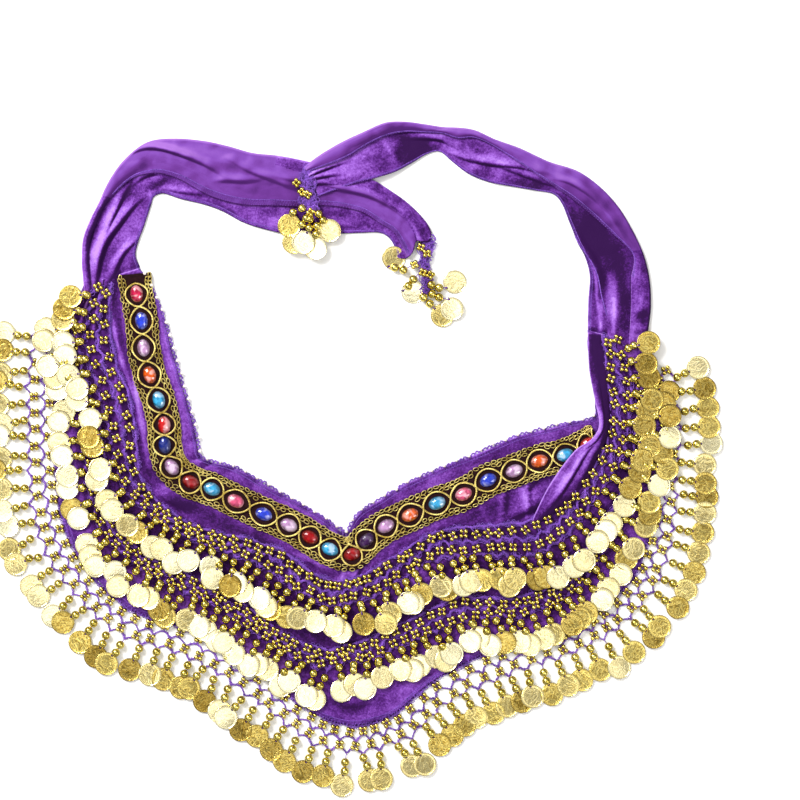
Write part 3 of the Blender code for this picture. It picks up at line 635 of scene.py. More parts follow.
def hip_point(along, across):
    place = along * HIP_LAST
    row = HipSection(*through(HIP_FOLD, place))
    inner, outer = np.array([row.inner_x, row.inner_y]), np.array([row.outer_x, row.outer_y])
    roll = math.sin(min(1.0, across / ROLL_SHARE) * math.pi / 2)
    x, y = inner + (outer - inner) * max(0.0, across - 0.08) / 0.92 + (inner - outer) * 0.05 * (roll - 1)
    crown = math.cos(math.pi / 2 * across ** 2.1)
    z = HIP_EDGE + (row.lift - HIP_EDGE) * crown - ROLL_DROP * (1 - roll)
    creases = fold_lift(HIP_CREASES, place, across, np.linalg.norm(outer - inner))
    z += (creases + crumple(x, y, *HIP_CRUMPLE)) * roll
    return on_table_mm(x, y, z)


hip = make_cloth("hip_fold_cloth", "velvet", "hip_fold", (150, 40), hip_point, 1.0, (0.19, 0.03), [VELVET],
                 nap=lambda along, across: stroke_light_and_shade(HIP_BRUSH, along * HIP_LAST, across))

# ---- crochet thread and overlocked edges -------------------------------------------------------------
# Every cord is a crochet chain: two strands of bright violet cotton that twist round each other. The
# raw edges of the velvet are overlocked with the same cotton in a close zigzag.
def thread_material(name, scales, shares, stops, bump_distance, **finish):
    """Wound thread: fine fibres over broader patches of dye."""
    material, tree, surface = new_material(name)
    place = object_place(tree)
    fibre = noise_of(tree, place, scales[0], 3.0, Roughness=0.7)
    dye = noise_of(tree, place, scales[1], 2.0)
    tone = weighed(tree, fibre, shares[0], dye, shares[1])
    feed(surface, Base_Color=ramp_of(tree, tone, *stops), Normal=bumped(tree, fibre, 0.5, bump_distance),
         **finish)
    return material


def cotton_material(name, dark, bright):
    return thread_material(name, (900.0, 90.0), (0.75, 0.3), ((0.36, dark), (0.70, bright)), 0.0003,
                           Roughness=0.6, Specular_IOR_Level=0.2, Sheen_Weight=0.08)


THREAD = cotton_material("violet_cotton", (0.026, 0.005, 0.120), (0.310, 0.115, 0.680))
OVERLOCK_PITCH = 1.5
OVERLOCK_POINTS = 260      # where an edge is read off its cloth


def interpolated(spots, known, line):
    """Points of a line at places between those where it is known."""
    line = np.asarray(line, dtype=float)
    return np.stack([np.interp(spots, known, line[:, axis]) for axis in range(line.shape[1])], axis=1)


def travelled(points):
    """How far along a line of points each of them lies."""
    return np.concatenate([[0.0], np.cumsum(np.linalg.norm(np.diff(points, axis=0), axis=1))])


def evenly(points, step):
    """Points at equal steps along a line of points, in millimetres."""
    run = travelled(np.asarray(points, dtype=float))
    return interpolated(np.linspace(0, run[-1], max(2, round(run[-1] / step) + 1)), run, points)


def sideways_of(run):
    """Directions square to a line's directions, level with the table."""
    return np.stack([run[:, 1], -run[:, 0], np.zeros(len(run))], axis=1)


def twisted(points, spread=0.55, pitch=3.2, step=0.8):
    """Two strands that twist round a line of points."""
    line = evenly(points, step)
    side = sideways_of(np.gradient(line, axis=0))
    side /= np.maximum(np.linalg.norm(side, axis=1, keepdims=True), 1e-9)
    turn = 2 * math.pi * np.arange(len(line))[:, None] * step / pitch
    away = side * np.cos(turn) + np.array([0.0, 0.0, 0.8]) * np.sin(turn)
    return [line + away * spread, line - away * spread]


def make_cords(name, paths, thickness, material=THREAD, slot="crochet_thread", nodes=(), sides=4,
               closed=False):
    """Round cords along lines of points in millimetres, as one mesh."""
    curve = bpy.data.curves.new(name, "CURVE")
    curve.dimensions = "3D"
    curve.bevel_depth = thickness / 2 * MM
    curve.bevel_resolution = (sides - 4) // 2
    curve.use_fill_caps = True
    for path in paths:
        spline = curve.splines.new("POLY")
        spline.points.add(len(path) - 1)
        spots = np.ones((len(path), 4))
        spots[:, :3] = (np.asarray(path, dtype=float) + [*SHIFT, 0.0]) * MM
        spline.points.foreach_set("co", spots.ravel())
        spline.use_cyclic_u = closed
    draft = add_object(name + "_draft", curve)
    bpy.context.view_layer.update()
    mesh = bpy.data.meshes.new_from_object(draft.evaluated_get(bpy.context.evaluated_depsgraph_get()))
    bpy.data.objects.remove(draft, do_unlink=True)
    mesh.name = name
    mesh.materials.clear()
    mesh.materials.append(material)
    mesh.shade_smooth()
    return piece_of(add_object(name, mesh), slot, *nodes)


def zigzag(edge_points, inner_points, lift):
    """A thread that goes to and fro between a cloth's edge and a line just inside it."""
    count = round(travelled(edge_points)[-1] / OVERLOCK_PITCH)
    spots = np.linspace(0, len(edge_points) - 1, count * 2)
    outer, inner = (interpolated(spots, range(len(line)), line) for line in (edge_points, inner_points))
    path = np.where(np.arange(len(spots))[:, None] % 2 == 0, outer, inner)
    path[:, 2] += lift
    return path


def in_mm(point):
    return [point.x / MM - SHIFT[0], point.y / MM - SHIFT[1], point.z / MM]


def overlock(name, cloth_point, lift, *edges):
    """Overlocking along the edges of a cloth; each has its share, the inner share and its two ends."""
    paths = []
    for edge, inner, start, end in edges:
        places = np.linspace(start, end, OVERLOCK_POINTS)
        outer_line, inner_line = ([in_mm(cloth_point(along, across)) for along in places]
                                  for across in (edge, inner))
        paths += [zigzag(outer_line, inner_line, lift), np.asarray(inner_line) + [0, 0, lift]]
    make_cords(name, paths, 0.55)


overlock("hem_overlock", body_point, 0.7, (1.0, 0.975, 0.0, 1.0), (0.0, 0.022, 0.0, 1.0))
overlock("left_tie_overlock", partial(tie_point, "left"), 0.6, (0.003, 0.022, 0.03, 1.0),
         (0.997, 0.95, 0.275, 1.0))
overlock("right_tie_overlock", partial(tie_point, "right"), 0.6, (0.003, 0.022, 0.0, 0.96),
         (0.997, 0.95, 0.0, 0.80))

# The plain edge of the right tie rolls in: the places along the tie, and how far across its lower layer
# the edge then lies.
ROLL = [(15.7, 1.0), (16.6, .97), (17.4, .91), (18.2, .85), (19.0, .77), (19.8, .68)]
rolled_edge = []
for roll_step in np.linspace(0, len(ROLL) - 1, 60):
    place, share = through(ROLL, roll_step)
    x, y, z = in_mm(tie_point("right", place / TIES["right"].ends[1], LOWER_SHARE * (1 - share)))
    rolled_edge.append((x, y, z + 0.8))
make_cords("right_tie_rolled_edge", twisted(rolled_edge, 0.3, 1.8, 0.6), 0.7)

# ---- picot edging of the waist -----------------------------------------------------------------------
# A narrow crochet edging is worked along the waist: low loops of cotton, with a small pearly seed bead
# at every third loop.
PICOT_PITCH = 3.4
PICOT_HEIGHT = 2.3
PICOT_STEPS = 6            # points to a loop
BEAD_EVERY = 3             # loops
PICOT_BEAD = 2.8
WAIST_ENDS = (0.2, 24.4)

waist = np.array([on_section(place, 0.0) for place in np.linspace(*WAIST_ENDS, 700)])
waist_run = travelled(waist)
inward = np.gradient(waist, axis=0)
inward = sideways_of(inward / np.linalg.norm(inward, axis=1, keepdims=True))[:, :2]
picot_loops = []
picot_spots = []
steps = np.linspace(0, waist_run[-1], round(waist_run[-1] / PICOT_PITCH) * PICOT_STEPS + 1)
lines = zip(steps, interpolated(steps, waist_run, waist), interpolated(steps, waist_run, inward))
for number, (step, spot, out) in enumerate(lines):
    swell = abs(math.sin(math.pi * number / PICOT_STEPS)) ** 0.6
    uneven = 1 + 0.7 * noise.noise(Vector((step * 0.16, 2.0, 9.0)))
    x, y = spot - out * (swell * PICOT_HEIGHT * uneven - 0.8)
    picot_loops.append((x, y, 1.6 + 0.9 * swell))
    if number % (BEAD_EVERY * PICOT_STEPS) == PICOT_STEPS / 2:
        picot_spots.append((x, y, 3.2))
make_cords("waist_picot", twisted(picot_loops, 0.45, 2.2, 0.7), 0.8)


def mixed(tree, factor, a, b, blend="MIX"):
    return node_of(tree, "ShaderNodeMix", data_type="RGBA", blend_type=blend, Factor=factor, A=a,
                   B=b).outputs["Result"]


pearly, tree, surface = new_material("pearly_bead")
lustre = noise_of(tree, object_place(tree), 400.0, 2.0)
feed(surface, Base_Color=mixed(tree, lustre, (0.80, 0.66, 0.60, 1), (0.95, 0.86, 0.82, 1)), Roughness=0.2,
     Coat_Weight=0.8)


def ball(diameter, around, rings):
    """One bead as a mesh, with its hole's axis along Z left to the thread."""
    piece = bmesh.new()
    bmesh.ops.create_uvsphere(piece, u_segments=around, v_segments=rings, radius=diameter / 2 * MM)
    return mesh_of("ball", piece)


def moved_to(x, y, z):
    return Matrix.Translation(on_table_mm(x, y, z))


def scatter(name, shapes, placements, material, slot, nodes=(), smooth=True, finishes=None):
    """One mesh of many copies of a few shapes, each moved by its matrix, with its own value of tone and
    painted light.
    """
    piece = bmesh.new()
    counts = [0]
    for number, matrix in enumerate(placements):
        copy = shapes[number % len(shapes)]
        copy.transform(matrix)
        piece.from_mesh(copy)
        copy.transform(matrix.inverted())
        counts.append(len(piece.faces))
    mesh = mesh_of(name, piece)
    if finishes is not None:
        values = np.repeat(np.asarray(finishes, dtype=np.float32), np.diff(counts), axis=0)
        kind, key = ("FLOAT_COLOR", "color") if values.ndim == 2 else ("FLOAT", "value")
        mesh.attributes.new("finish", kind, "FACE").data.foreach_set(key, values.ravel())
    mesh.materials.append(material)
    if smooth:
        mesh.shade_smooth()
    return piece_of(add_object(name, mesh), slot, *nodes)


scatter("picot_beads", [ball(PICOT_BEAD, 8, 5)], [moved_to(*spot) for spot in picot_spots], pearly,
        "gold_bead")

# ---- jewelled braid ----------------------------------------------------------------------------------
# A black woven tape carries two gold cords that cross between the gems, and two rows of fine gold chain
# stitch along each edge. The gems are faceted ovals of acrylic with foil behind, glued into the eyes.
TAPE_WIDTH = 25.0
TAPE_WALL = 1.1
EYE_HALF_WIDTH = 8.8
EYE_STEPS = 18             # points of a cord to each gem
STITCH_ROWS = (11.5, 8.8)  # from the tape's middle; the inner row shows only beside the crossings
UNEVEN = 0.45              # how far a stitch strays, in millimetres and in radians
GEM_SIZE = (13.8, 10.2, 3.4)
GEM_SIDES = 14
GEM_COLOURS = {
    "crimson": (0.62, 0.010, 0.075), "blue": (0.020, 0.055, 0.72), "lilac": (0.56, 0.30, 0.58),
    "orange": (0.90, 0.120, 0.008), "sky": (0.045, 0.42, 0.78), "red": (0.66, 0.010, 0.012),
    "navy": (0.010, 0.025, 0.25), "garnet": (0.36, 0.004, 0.008), "pink": (0.82, 0.10, 0.24),
    # The plum is darkened as painted shade, where the braid folds over its gem.
    "plum": (0.06, 0.012, 0.10),
}
DEEP_GEMS = ("navy", "garnet", "plum")     # these lie in shade: little gloss and no bright foil
Gem = namedtuple("Gem", "x y colour")
GEMS = [Gem(*row) for row in (
    (-167.1, 127.1, "crimson"), (-163.2, 106.3, "blue"), (-161.7, 85.5, "lilac"), (-157.1, 64.7, "orange"),
    (-150.2, 45.4, "sky"), (-145.9, 26.2, "red"), (-145.5, 10.8, "navy"), (-140.1, -6.2, "lilac"),
    (-125.5, -17.7, "garnet"), (-109.3, -23.1, "sky"), (-90.9, -32.3, "pink"), (-69.3, -42.4, "blue"),
    (-50.1, -50.8, "lilac"), (-33.9, -60.1, "garnet"), (-18.5, -69.3, "sky"), (-1.5, -73.2, "garnet"),
    (9.6, -62.4, "plum"), (24.6, -51.6, "lilac"), (43.1, -43.1, "orange"), (63.9, -33.9, "sky"),
    (84.3, -27.0, "pink"), (103.2, -16.2, "blue"), (123.2, -9.2, "lilac"), (142.5, -1.5, "orange"),
    (162.5, 3.1, "sky"), (180.2, 11.6, "red"),
)]
BRAID_ROWS = [(-168.8, 142.5)] + [(gem.x, gem.y) for gem in GEMS] + [(188.0, 16.0)]
BRAID_LAST = len(BRAID_ROWS) - 1


def braid_run(place, reach):
    """The tape's direction, from its places just before and after."""
    return through(BRAID_ROWS, min(place + reach, BRAID_LAST)) - through(BRAID_ROWS, max(place - reach, 0))


def braid_spot(place, side):
    """A point of the tape: place counts the gems, side is in millimetres from the middle."""
    run = unit(braid_run(place, 0.3))
    return through(BRAID_ROWS, place) + np.array([run[1], -run[0]]) * side


bpy.context.view_layer.update()
body_tree = BVHTree.FromObject(body, bpy.context.evaluated_depsgraph_get())


def velvet_top(x, y):
    """Top of the velvet in millimetres at a point, or the table beside it."""
    hit = body_tree.ray_cast(on_table_mm(x, y, 60), Vector((0, 0, -1)))[0]
    return hit.z / MM if hit else 0.0


def braid_rest(x, y):
    """Height of the tape's underside: it bridges the smallest hollows of the velvet."""
    return max(velvet_top(x + dx, y + dy) for dx in (-3, 0, 3) for dy in (-3, 0, 3)) + 0.15


def tape_point(along, across):
    x, y = braid_spot(along * BRAID_LAST, (across - 0.5) * TAPE_WIDTH)
    return on_table_mm(x, y, braid_rest(x, y) + TAPE_WALL / 2)


tape_black, tree, surface = new_material("tape_black")
cloth_uv = uv_of(tree, "cloth")
ribs = node_of(tree, "ShaderNodeTexWave", Vector=cloth_uv, Scale=420.0, Distortion=0.6, Detail=1.0,
               wave_type="BANDS", bands_direction="X").outputs["Fac"]
shade = weighed(tree, noise_of(tree, cloth_uv, 260.0, 4.0), 0.8, ribs, 0.3)
feed(surface, Base_Color=ramp_of(tree, shade, (0.30, (0.004, 0.001, 0.002)), (0.85, (0.030, 0.008, 0.010))),
     Normal=bumped(tree, ribs, 0.6, 0.0003), Roughness=0.9, Specular_IOR_Level=0.1)
tape = make_cloth("braid_tape", "black_tape", "waist_trim", (300, 12), tape_point, TAPE_WALL, (0.545, 0.025),
                  [tape_black])

GOLD_CORD = thread_material("gold_cord", (1100.0, 120.0), (0.5, 0.5),
                            ((0.38, (0.34, 0.22, 0.02)), (0.62, (1.0, 0.84, 0.28))), 0.0002, Metallic=0.7,
                            Roughness=0.28)


def eye_cord(hand):
    """One of the two gold cords: it swings from side to side and crosses the other between the gems."""
    path = []
    for step in np.linspace(0.5, BRAID_LAST, round((BRAID_LAST - 0.5) * EYE_STEPS)):
        swing = math.cos(math.pi * step)
        x, y = braid_spot(step, hand * EYE_HALF_WIDTH * math.copysign(abs(swing) ** 0.62, swing))
        crossing = 0.45 * hand * math.sin(math.pi * step) if abs(swing) < 0.5 else 0.0
        path.append((x, y, braid_rest(x, y) + TAPE_WALL + 0.9 + crossing))
    return twisted(path, 0.42, 2.6, 0.75)


def circle(count):
    return [2 * math.pi * number / count for number in range(count)]


make_cords("braid_cords", eye_cord(1) + eye_cord(-1), 0.95, GOLD_CORD, "gold_braid", sides=6)

chance = random.Random(11)
links = []
for side in (-1, 1):
    for middle in STITCH_ROWS:
        step = 0.12
        while step < BRAID_LAST - (0.1 if side < 0 else 0.8):
            if middle > EYE_HALF_WIDTH or abs(math.cos(math.pi * step)) < 0.66:
                x, y = braid_spot(step, side * (middle + chance.uniform(-UNEVEN, UNEVEN)))
                ahead = braid_spot(step + 0.05, side * middle) - braid_spot(step - 0.05, side * middle)
                turn = math.atan2(ahead[1], ahead[0]) + chance.uniform(-UNEVEN, UNEVEN)
                length, width = chance.uniform(1.8, 2.3), chance.uniform(1.05, 1.35)
                height = braid_rest(x, y) + TAPE_WALL + 0.5
                ring = []
                for angle in circle(9):
                    a, b = length * math.cos(angle), width * math.sin(angle)
                    ring.append((x + a * math.cos(turn) - b * math.sin(turn),
                                 y + a * math.sin(turn) + b * math.cos(turn),
                                 height + 0.35 * math.sin(angle + turn)))
                links.append(ring)
            step += chance.uniform(0.185, 0.225)
make_cords("braid_chain_stitch", links, 0.62, GOLD_CORD, "gold_braid", closed=True)

# A faceted stone: three steps in from the girdle, each turned by half a facet.
stone = bmesh.new()
half_facet = Matrix.Rotation(math.pi / GEM_SIDES, 3, "Z")
bmesh.ops.create_circle(stone, cap_ends=True, segments=GEM_SIDES, radius=0.5)
bmesh.ops.rotate(stone, verts=stone.verts[:], matrix=half_facet)
for thickness, depth in ((0.02, 0.30), (0.13, 0.42), (0.13, 0.22)):
    top = max(stone.faces, key=lambda face: len(face.verts))
    bmesh.ops.inset_individual(stone, faces=[top], thickness=thickness, depth=depth)
    bmesh.ops.rotate(stone, verts=top.verts[:], matrix=half_facet)
bmesh.ops.scale(stone, vec=[size * MM for size in GEM_SIZE], verts=stone.verts[:])
bmesh.ops.triangulate(stone, faces=[face for face in stone.faces if len(face.verts) == 4])


def lay_flat(shape, name, length, width):
    """A UV map seen from above, from 0 to 1 across the shape."""
    uv_layer = shape.loops.layers.uv.new(name)
    for face in shape.faces:
        for loop in face.loops:
            loop[uv_layer].uv = (loop.vert.co.x / (length * MM) + 0.5, loop.vert.co.y / (width * MM) + 0.5)


lay_flat(stone, "gem", GEM_SIZE[0], GEM_SIZE[1])
gem_shape = mesh_of("gem_shape", stone)

gem_material, tree, surface = new_material("foiled_gem")
tint = attribute_of(tree, "finish").outputs
place = object_place(tree)
from_middle = vector_maths(tree, "DISTANCE", "Value", i0=uv_of(tree, "gem"), i1=(0.5, 0.5, 0.0))
# Painted shade: the stone darkens towards its rim, and random cells are lighter or darker as painted glints
# of the foil behind.
rim = ranged(tree, from_middle, 0.20, 0.52, 1.0, 0.30)
back_facets = node_of(tree, "ShaderNodeTexVoronoi", Vector=place, Scale=420.0, feature="F1").outputs["Color"]
glint = node_of(tree, "ShaderNodeSeparateColor", Color=back_facets).outputs["Green"]
depth = maths(tree, "MULTIPLY", rim, maths(tree, "MULTIPLY_ADD", glint, 0.5, 0.50))
darker = mixed(tree, 1.0, tint["Color"], depth, "MULTIPLY")
# Painted highlight: a pale streak where the foil catches the light, weak on the deep stones.
foil = ranged(tree, noise_of(tree, place, 150.0, 1.0, Distortion=0.8), 0.50, 0.66, 0.0, 0.62)
clear = maths(tree, "MULTIPLY", maths(tree, "MULTIPLY", foil, rim), tint["Alpha"])
highlight_colour = mixed(tree, 0.55, tint["Color"], (1.0, 0.97, 1.0, 1))
feed(surface, Base_Color=mixed(tree, clear, darker, highlight_colour), Metallic=0.1, Roughness=0.10,
     Coat_Weight=tint["Alpha"])

gem_places = []
for number, gem in enumerate(GEMS, start=1):
    run = braid_run(number, 0.4)
    gem_places.append(moved_to(gem.x, gem.y, braid_rest(gem.x, gem.y) + TAPE_WALL)
                      @ Matrix.Rotation(math.atan2(run[1], run[0]), 4, "Z"))
gem_tones_and_light = [(*GEM_COLOURS[gem.colour], 0.15 if gem.colour in DEEP_GEMS else 1.0) for gem in GEMS]
scatter("gems", [gem_shape], gem_places, gem_material, "gems", smooth=False, finishes=gem_tones_and_light)

# ---- crochet nets ------------------------------------------------------------------------------------
# Three nets: two are sewn on the velvet and one edges the hem. Each has chains along it and two rows
# of little flowers of four seed beads, threaded on the rungs between the chains.
Tier = namedtuple("Tier", "name first last top chain drops coin_lift net_height strand sway "
                          "glare_at glare seed")
TIERS = [
    Tier("hem", 1.9, 28.2, None, None, 70, 1.7, 0.9, 0.74, 1.7,
         (0, 4, 8, 12, 18, 25, 28), (.6, .5, .4, .15, .05, .1, .3), 5),
    Tier("lower", 1.5, 27.9, "lower_top", "lower_chain", 71, 4.2, 1.1, 1.05, 2.1,
         (0, 4, 6, 8, 9, 10, 20, 21, 24, 29), (.7, .9, .6, .3, .5, .97, .97, .6, .3, .2), 6),
    Tier("upper", 0.35, 28.95, "upper_top", "upper_chain", 67, 8.3, 1.2, 1.05, 2.1,
         (0, 3, 5, 7, 11, 13, 15.2, 15.7, 18, 19, 20, 23, 25, 29),
         (.75, .85, .85, .9, .9, .25, .25, .95, .8, .3, .8, .6, .1, .1), 7),
]
# The cells of the two tiers on the velvet lie closer together towards both hips.
CELL_WIDTHS = ((0, 7, 10, 20, 24, 29), (0.80, 0.80, 1.0, 1.0, 0.85, 0.82))
SEED = 3.7

GOLD_BEAD, tree, surface = new_material("gold_bead")
plating = noise_of(tree, object_place(tree), 160.0, 2.0)
feed(surface, Base_Color=ramp_of(tree, plating, (0.35, (0.47, 0.36, 0.06)), (0.68, (0.78, 0.66, 0.19))),
     Roughness=ranged(tree, plating, 0.3, 0.7, 0.09, 0.18, "LINEAR"), Metallic=1.0)


def hem_normal(place):
    """Direction square to the hem edge, averaged over the neighbouring sections."""
    run = unit(on_section(place + 0.8, 1.0) - on_section(place - 0.8, 1.0))
    return np.array([run[1], -run[0]])


def fall(tier, place):
    """Direction in which a tier's net and drops hang."""
    if not tier.top:
        return hem_normal(place)
    outward = unit(on_section(place, 1.0) - on_section(place, 0.0))
    return unit(outward * 0.3 + hem_normal(place) * 0.7)


def net_line(tier, place, share):
    """A point of a net, from its heading at share 0 to its last chain at share 1."""
    cut = section_at(place)
    if tier.top:
        top, chain = getattr(cut, tier.top), getattr(cut, tier.chain)
        return on_section(place, top + (chain - top) * share)
    return on_section(place, 1.0) + hem_normal(place) * (0.4 + (cut.net - 0.4) * share)


def cell_places(tier):
    """Where the corners of a net's cells fall along it."""
    grain = np.linspace(tier.first, tier.last, 600)
    steps = np.diff(travelled(np.array([net_line(tier, place, 1.0) for place in grain])))
    if tier.top:
        steps = steps * np.interp(grain[1:], *CELL_WIDTHS)
    run = np.concatenate([[0.0], np.cumsum(steps)])
    return np.interp(np.linspace(0, run[-1], tier.drops + 1), run, grain)


def place_of(places, cell):
    return float(np.interp(cell, range(len(places)), places))


def ground(tier, x, y):
    """What a tier rests on at a point: the velvet for the two on the body, the table for the hem."""
    return velvet_top(x, y) if tier.top else 0.0


noise.seed_set(4)          # noise_vector would otherwise start from the clock, and differ each time


def sway(x, y, size):
    """Smooth disorder of the crochet, in millimetres."""
    wide = noise.noise_vector(Vector((x / 14, y / 14, 5.1)))
    fine = noise.noise_vector(Vector((x / 4, y / 4, 2.6)))
    return np.array([wide.x, wide.y]) * size + np.array([fine.x, fine.y]) * size * 0.35


def flower_row_phase(row):
    return 0.5 if row % 2 == 0 else 0.0


def chain_spot(tier, places, cell, row):
    """A point on a net's chain: it is pulled in where a flower hangs above and out where one is below."""
    place = place_of(places, cell)
    pull = (2.1 if tier.top is None else 1.7) if row else 0.4
    wave = 2 * abs(math.cos(math.pi * (cell - flower_row_phase(row - 1)))) ** 0.9 - 1
    spot = net_line(tier, place, row / 2) - fall(tier, place) * pull * wave
    x, y = spot + sway(*spot, tier.sway)
    return x, y, ground(tier, x, y) + tier.net_height


def curly(points, spread, pitch, step=0.5):
    """A thin strand that curls in little loops along a line of points."""
    line = evenly(points, step)
    run = np.gradient(line, axis=0)
    run /= np.maximum(np.linalg.norm(run, axis=1, keepdims=True), 1e-9)
    count = np.arange(len(line))[:, None]
    turn = 2 * math.pi * count * step / pitch + 0.9 * np.sin(count * 0.21)
    swell = spread * (1 + 0.5 * np.sin(count * 0.137))
    curl = sideways_of(run) * np.cos(turn) + run * 0.9 * np.sin(turn)
    return line + swell * curl + [0, 0, 0.35] * np.sin(turn * 0.5)


def nodes_of(start):
    return [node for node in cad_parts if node.startswith(start)]


def make_net(tier, places):
    chance = random.Random(tier.seed)
    cells = len(places) - 1
    paths, curls, seeds = [], [], []
    for row in range(3):
        line = [chain_spot(tier, places, cell, row) for cell in np.linspace(0, cells, cells * 8 + 1)]
        paths += twisted(line, 0.55 * tier.strand, 2.7, 0.75)
        curls.append(curly(line, 1.9 if tier.top else 0.9, 3.1))
        if tier.top:
            curls.append(curly(line[::-1], 1.2, 2.1))
        elif row == 0:
            curls += [curly(np.asarray(line) + [0, 0, 1.0], 1.9, 2.8), curly(line[::-1], 1.5, 2.2)]
    for row in range(2):
        for number in range(cells + (1 if row else 0)):
            cell = number + flower_row_phase(row)
            above = np.array(chain_spot(tier, places, cell, row))
            below = np.array(chain_spot(tier, places, cell, row + 1))
            middle = (above + below) / 2 + [chance.uniform(-0.9, 0.9), chance.uniform(-0.9, 0.9), 0.9]
            rungs = [(above, below)]
            if tier.top:
                rungs = [[chain_spot(tier, places, min(max(cell + lean, 0), cells), line)
                          for lean, line in ((side * 0.21, row), (side * 0.11, row + 1))] for side in (-1, 1)]
            paths += [[root, middle - [0, 0, 0.5], foot] for root, foot in rungs]
            run = unit((below - above)[:2])
            turn = math.atan2(run[1], run[0]) + chance.uniform(-0.45, 0.45) * (1.0 if tier.top else 0.5)
            tip = chance.uniform(-0.35, 0.35) if tier.top else chance.uniform(-0.2, 0.2)
            for a, b in ((-1, -1), (-1, 1), (1, 1), (1, -1)):
                out = Vector((a * 1.8, b * 1.75, b * tip + abs(tip) + chance.uniform(0, 0.35)))
                seeds.append(moved_to(*(Matrix.Rotation(turn, 3, "Z") @ out + Vector(middle))))
    return [make_cords(f"{tier.name}_net_thread", paths, tier.strand, nodes=nodes_of(f"{tier.name}_net_")),
            make_cords(f"{tier.name}_net_curls", curls, 0.5),
            scatter(f"{tier.name}_net_flowers", [ball(SEED, 8, 5)], seeds, GOLD_BEAD, "gold_bead")]


cells_of = {tier.name: cell_places(tier) for tier in TIERS}
sewn_on = [tape]
for tier in TIERS:
    sewn_on += make_net(tier, cells_of[tier.name])

# ---- drops -------------------------------------------------------------------------------------------
# From every corner of a net's last chain hangs a thread with two gold beads and, on a small loop, a
# coin of thin stamped brass: a raised rim, a dotted border and a swirl of relief. They lie in stacks.
BEAD = 6.8
COIN = 18.0
COIN_WALL = 0.45
COIN_SLOT = 7.4            # from the coin's middle
COIN_BENDS = (0.3, 1.4, 2.5)


def bent_coin(bend):
    """A coin, bent very slightly about one direction. Its slot lies on the side away from +X."""
    disc = bmesh.new()
    radius = COIN / 2 * MM
    bmesh.ops.create_cone(disc, cap_ends=True, segments=22, radius1=radius, radius2=radius,
                          depth=COIN_WALL * MM)
    top = max(disc.faces, key=lambda face: face.calc_center_median().z)
    for thickness, depth in ((0.35, 0.0), (0.20, -0.12), (1.6, 0.0), (2.9, 0.0)):
        ring = bmesh.ops.inset_individual(disc, faces=[top], thickness=thickness * MM,
                                          depth=depth * MM)["faces"]
        if thickness == 1.6:
            field = [face for face in ring if face != top]
    bmesh.ops.poke(disc, faces=[top])
    hole = max(field, key=lambda face: (-round(face.calc_center_median().x, 6), face.calc_center_median().y))
    bmesh.ops.inset_individual(disc, faces=[hole], thickness=0.2 * MM, depth=0.0)
    bmesh.ops.delete(disc, geom=[hole], context="FACES")
    lay_flat(disc, "coin", COIN, COIN)
    for face in disc.faces:
        face.smooth = abs(face.normal.z) > 0.97
    for corner in disc.verts:
        offset = (corner.co.x * math.cos(bend) + corner.co.y * math.sin(bend)) / radius
        corner.co.z += (0.20 * offset ** 2 + 0.10 * offset ** 3) * MM
    return mesh_of("coin_shape", disc)


COIN_SHAPES = [bent_coin(bend) for bend in COIN_BENDS]

COIN_BRASS, tree, surface = new_material("coin_brass")
finish = attribute_of(tree, "finish").outputs["Fac"]
centred = vector_maths(tree, "SUBTRACT", 0, i0=uv_of(tree, "coin"), i1=(0.5, 0.5, 0.0))
spot = node_of(tree, "ShaderNodeSeparateXYZ", Vector=centred).outputs
radius = vector_maths(tree, "LENGTH", "Value", i0=centred)
angle = maths(tree, "ARCTAN2", spot["X"], spot["Y"])
teeth = maths(tree, "SINE", maths(tree, "MULTIPLY", angle, 30.0))
pearls = maths(tree, "MULTIPLY", teeth, maths(tree, "COMPARE", radius, 0.415, 0.030))
swirls = noise_of(tree, object_place(tree), 230.0, 2.0, Roughness=0.5, Distortion=2.4)
relief = maths(tree, "MULTIPLY_ADD", pearls, 0.16, swirls)
# relief_and_shade sets how strongly the relief is painted with shade and bumped, weakest on the pale coins.
relief_and_shade = ranged(tree, finish, 0.05, 0.60, 0.24, 0.80, "LINEAR")
# Tone of the brass: pale cream is a painted reflection of the light, gold the metal, dark bronze painted
# shade of coins turned from the light.
tone = ramp_of(tree, finish, (0.0, (1.0, 0.94, 0.64)), (0.42, (0.86, 0.69, 0.21)), (1.0, (0.34, 0.23, 0.04)))
# Painted shade in the hollows of the relief, and a painted dark line of shade round the rim that outlines
# each coin.
hollow_shade = ramp_of(tree, relief, (0.40, (0.62, 0.51, 0.24)), (0.56, (1.0, 1.0, 1.0)))
rim_shade = ranged(tree, radius, 0.465, 0.50, 1.0, 0.60)
depth = vector_maths(tree, "SCALE", 0, i0=hollow_shade, Scale=rim_shade)
feed(surface, Base_Color=mixed(tree, relief_and_shade, tone, depth, "MULTIPLY"), Metallic=1.0, Roughness=0.17,
     Normal=bumped(tree, relief, relief_and_shade, 0.0003))


def new_drops(seed, rest):
    """An empty heap of drops, with its own chance and the height of what they rest on."""
    return {"coins": [], "finishes": [], "beads": [], "threads": [], "loops": [],
            "chance": random.Random(seed), "rest": rest}


def thread_bead(drops, path, x, y, z):
    """A bead on the thread, turned by chance."""
    drops["beads"].append(moved_to(x, y, z) @ Matrix.Rotation(drops["chance"].uniform(0, 3), 4, "X"))
    path.append((x, y, z))


def end_in_coin(drops, path, away, matrix, finish):
    """The end of a drop: the coin, and the loop that holds it to the thread."""
    slot = np.array(in_mm(matrix @ Vector((-COIN_SLOT * MM, 0, 0.3 * MM))))
    drops["coins"].append(matrix)
    drops["finishes"].append(finish)
    drops["threads"].append([*path, slot + [0, 0, 0.4]])
    drops["loops"].append([slot + [*(away * (1.3 * math.cos(angle) - 1.0)), 0.85 * math.sin(angle)]
                           for angle in circle(8)])


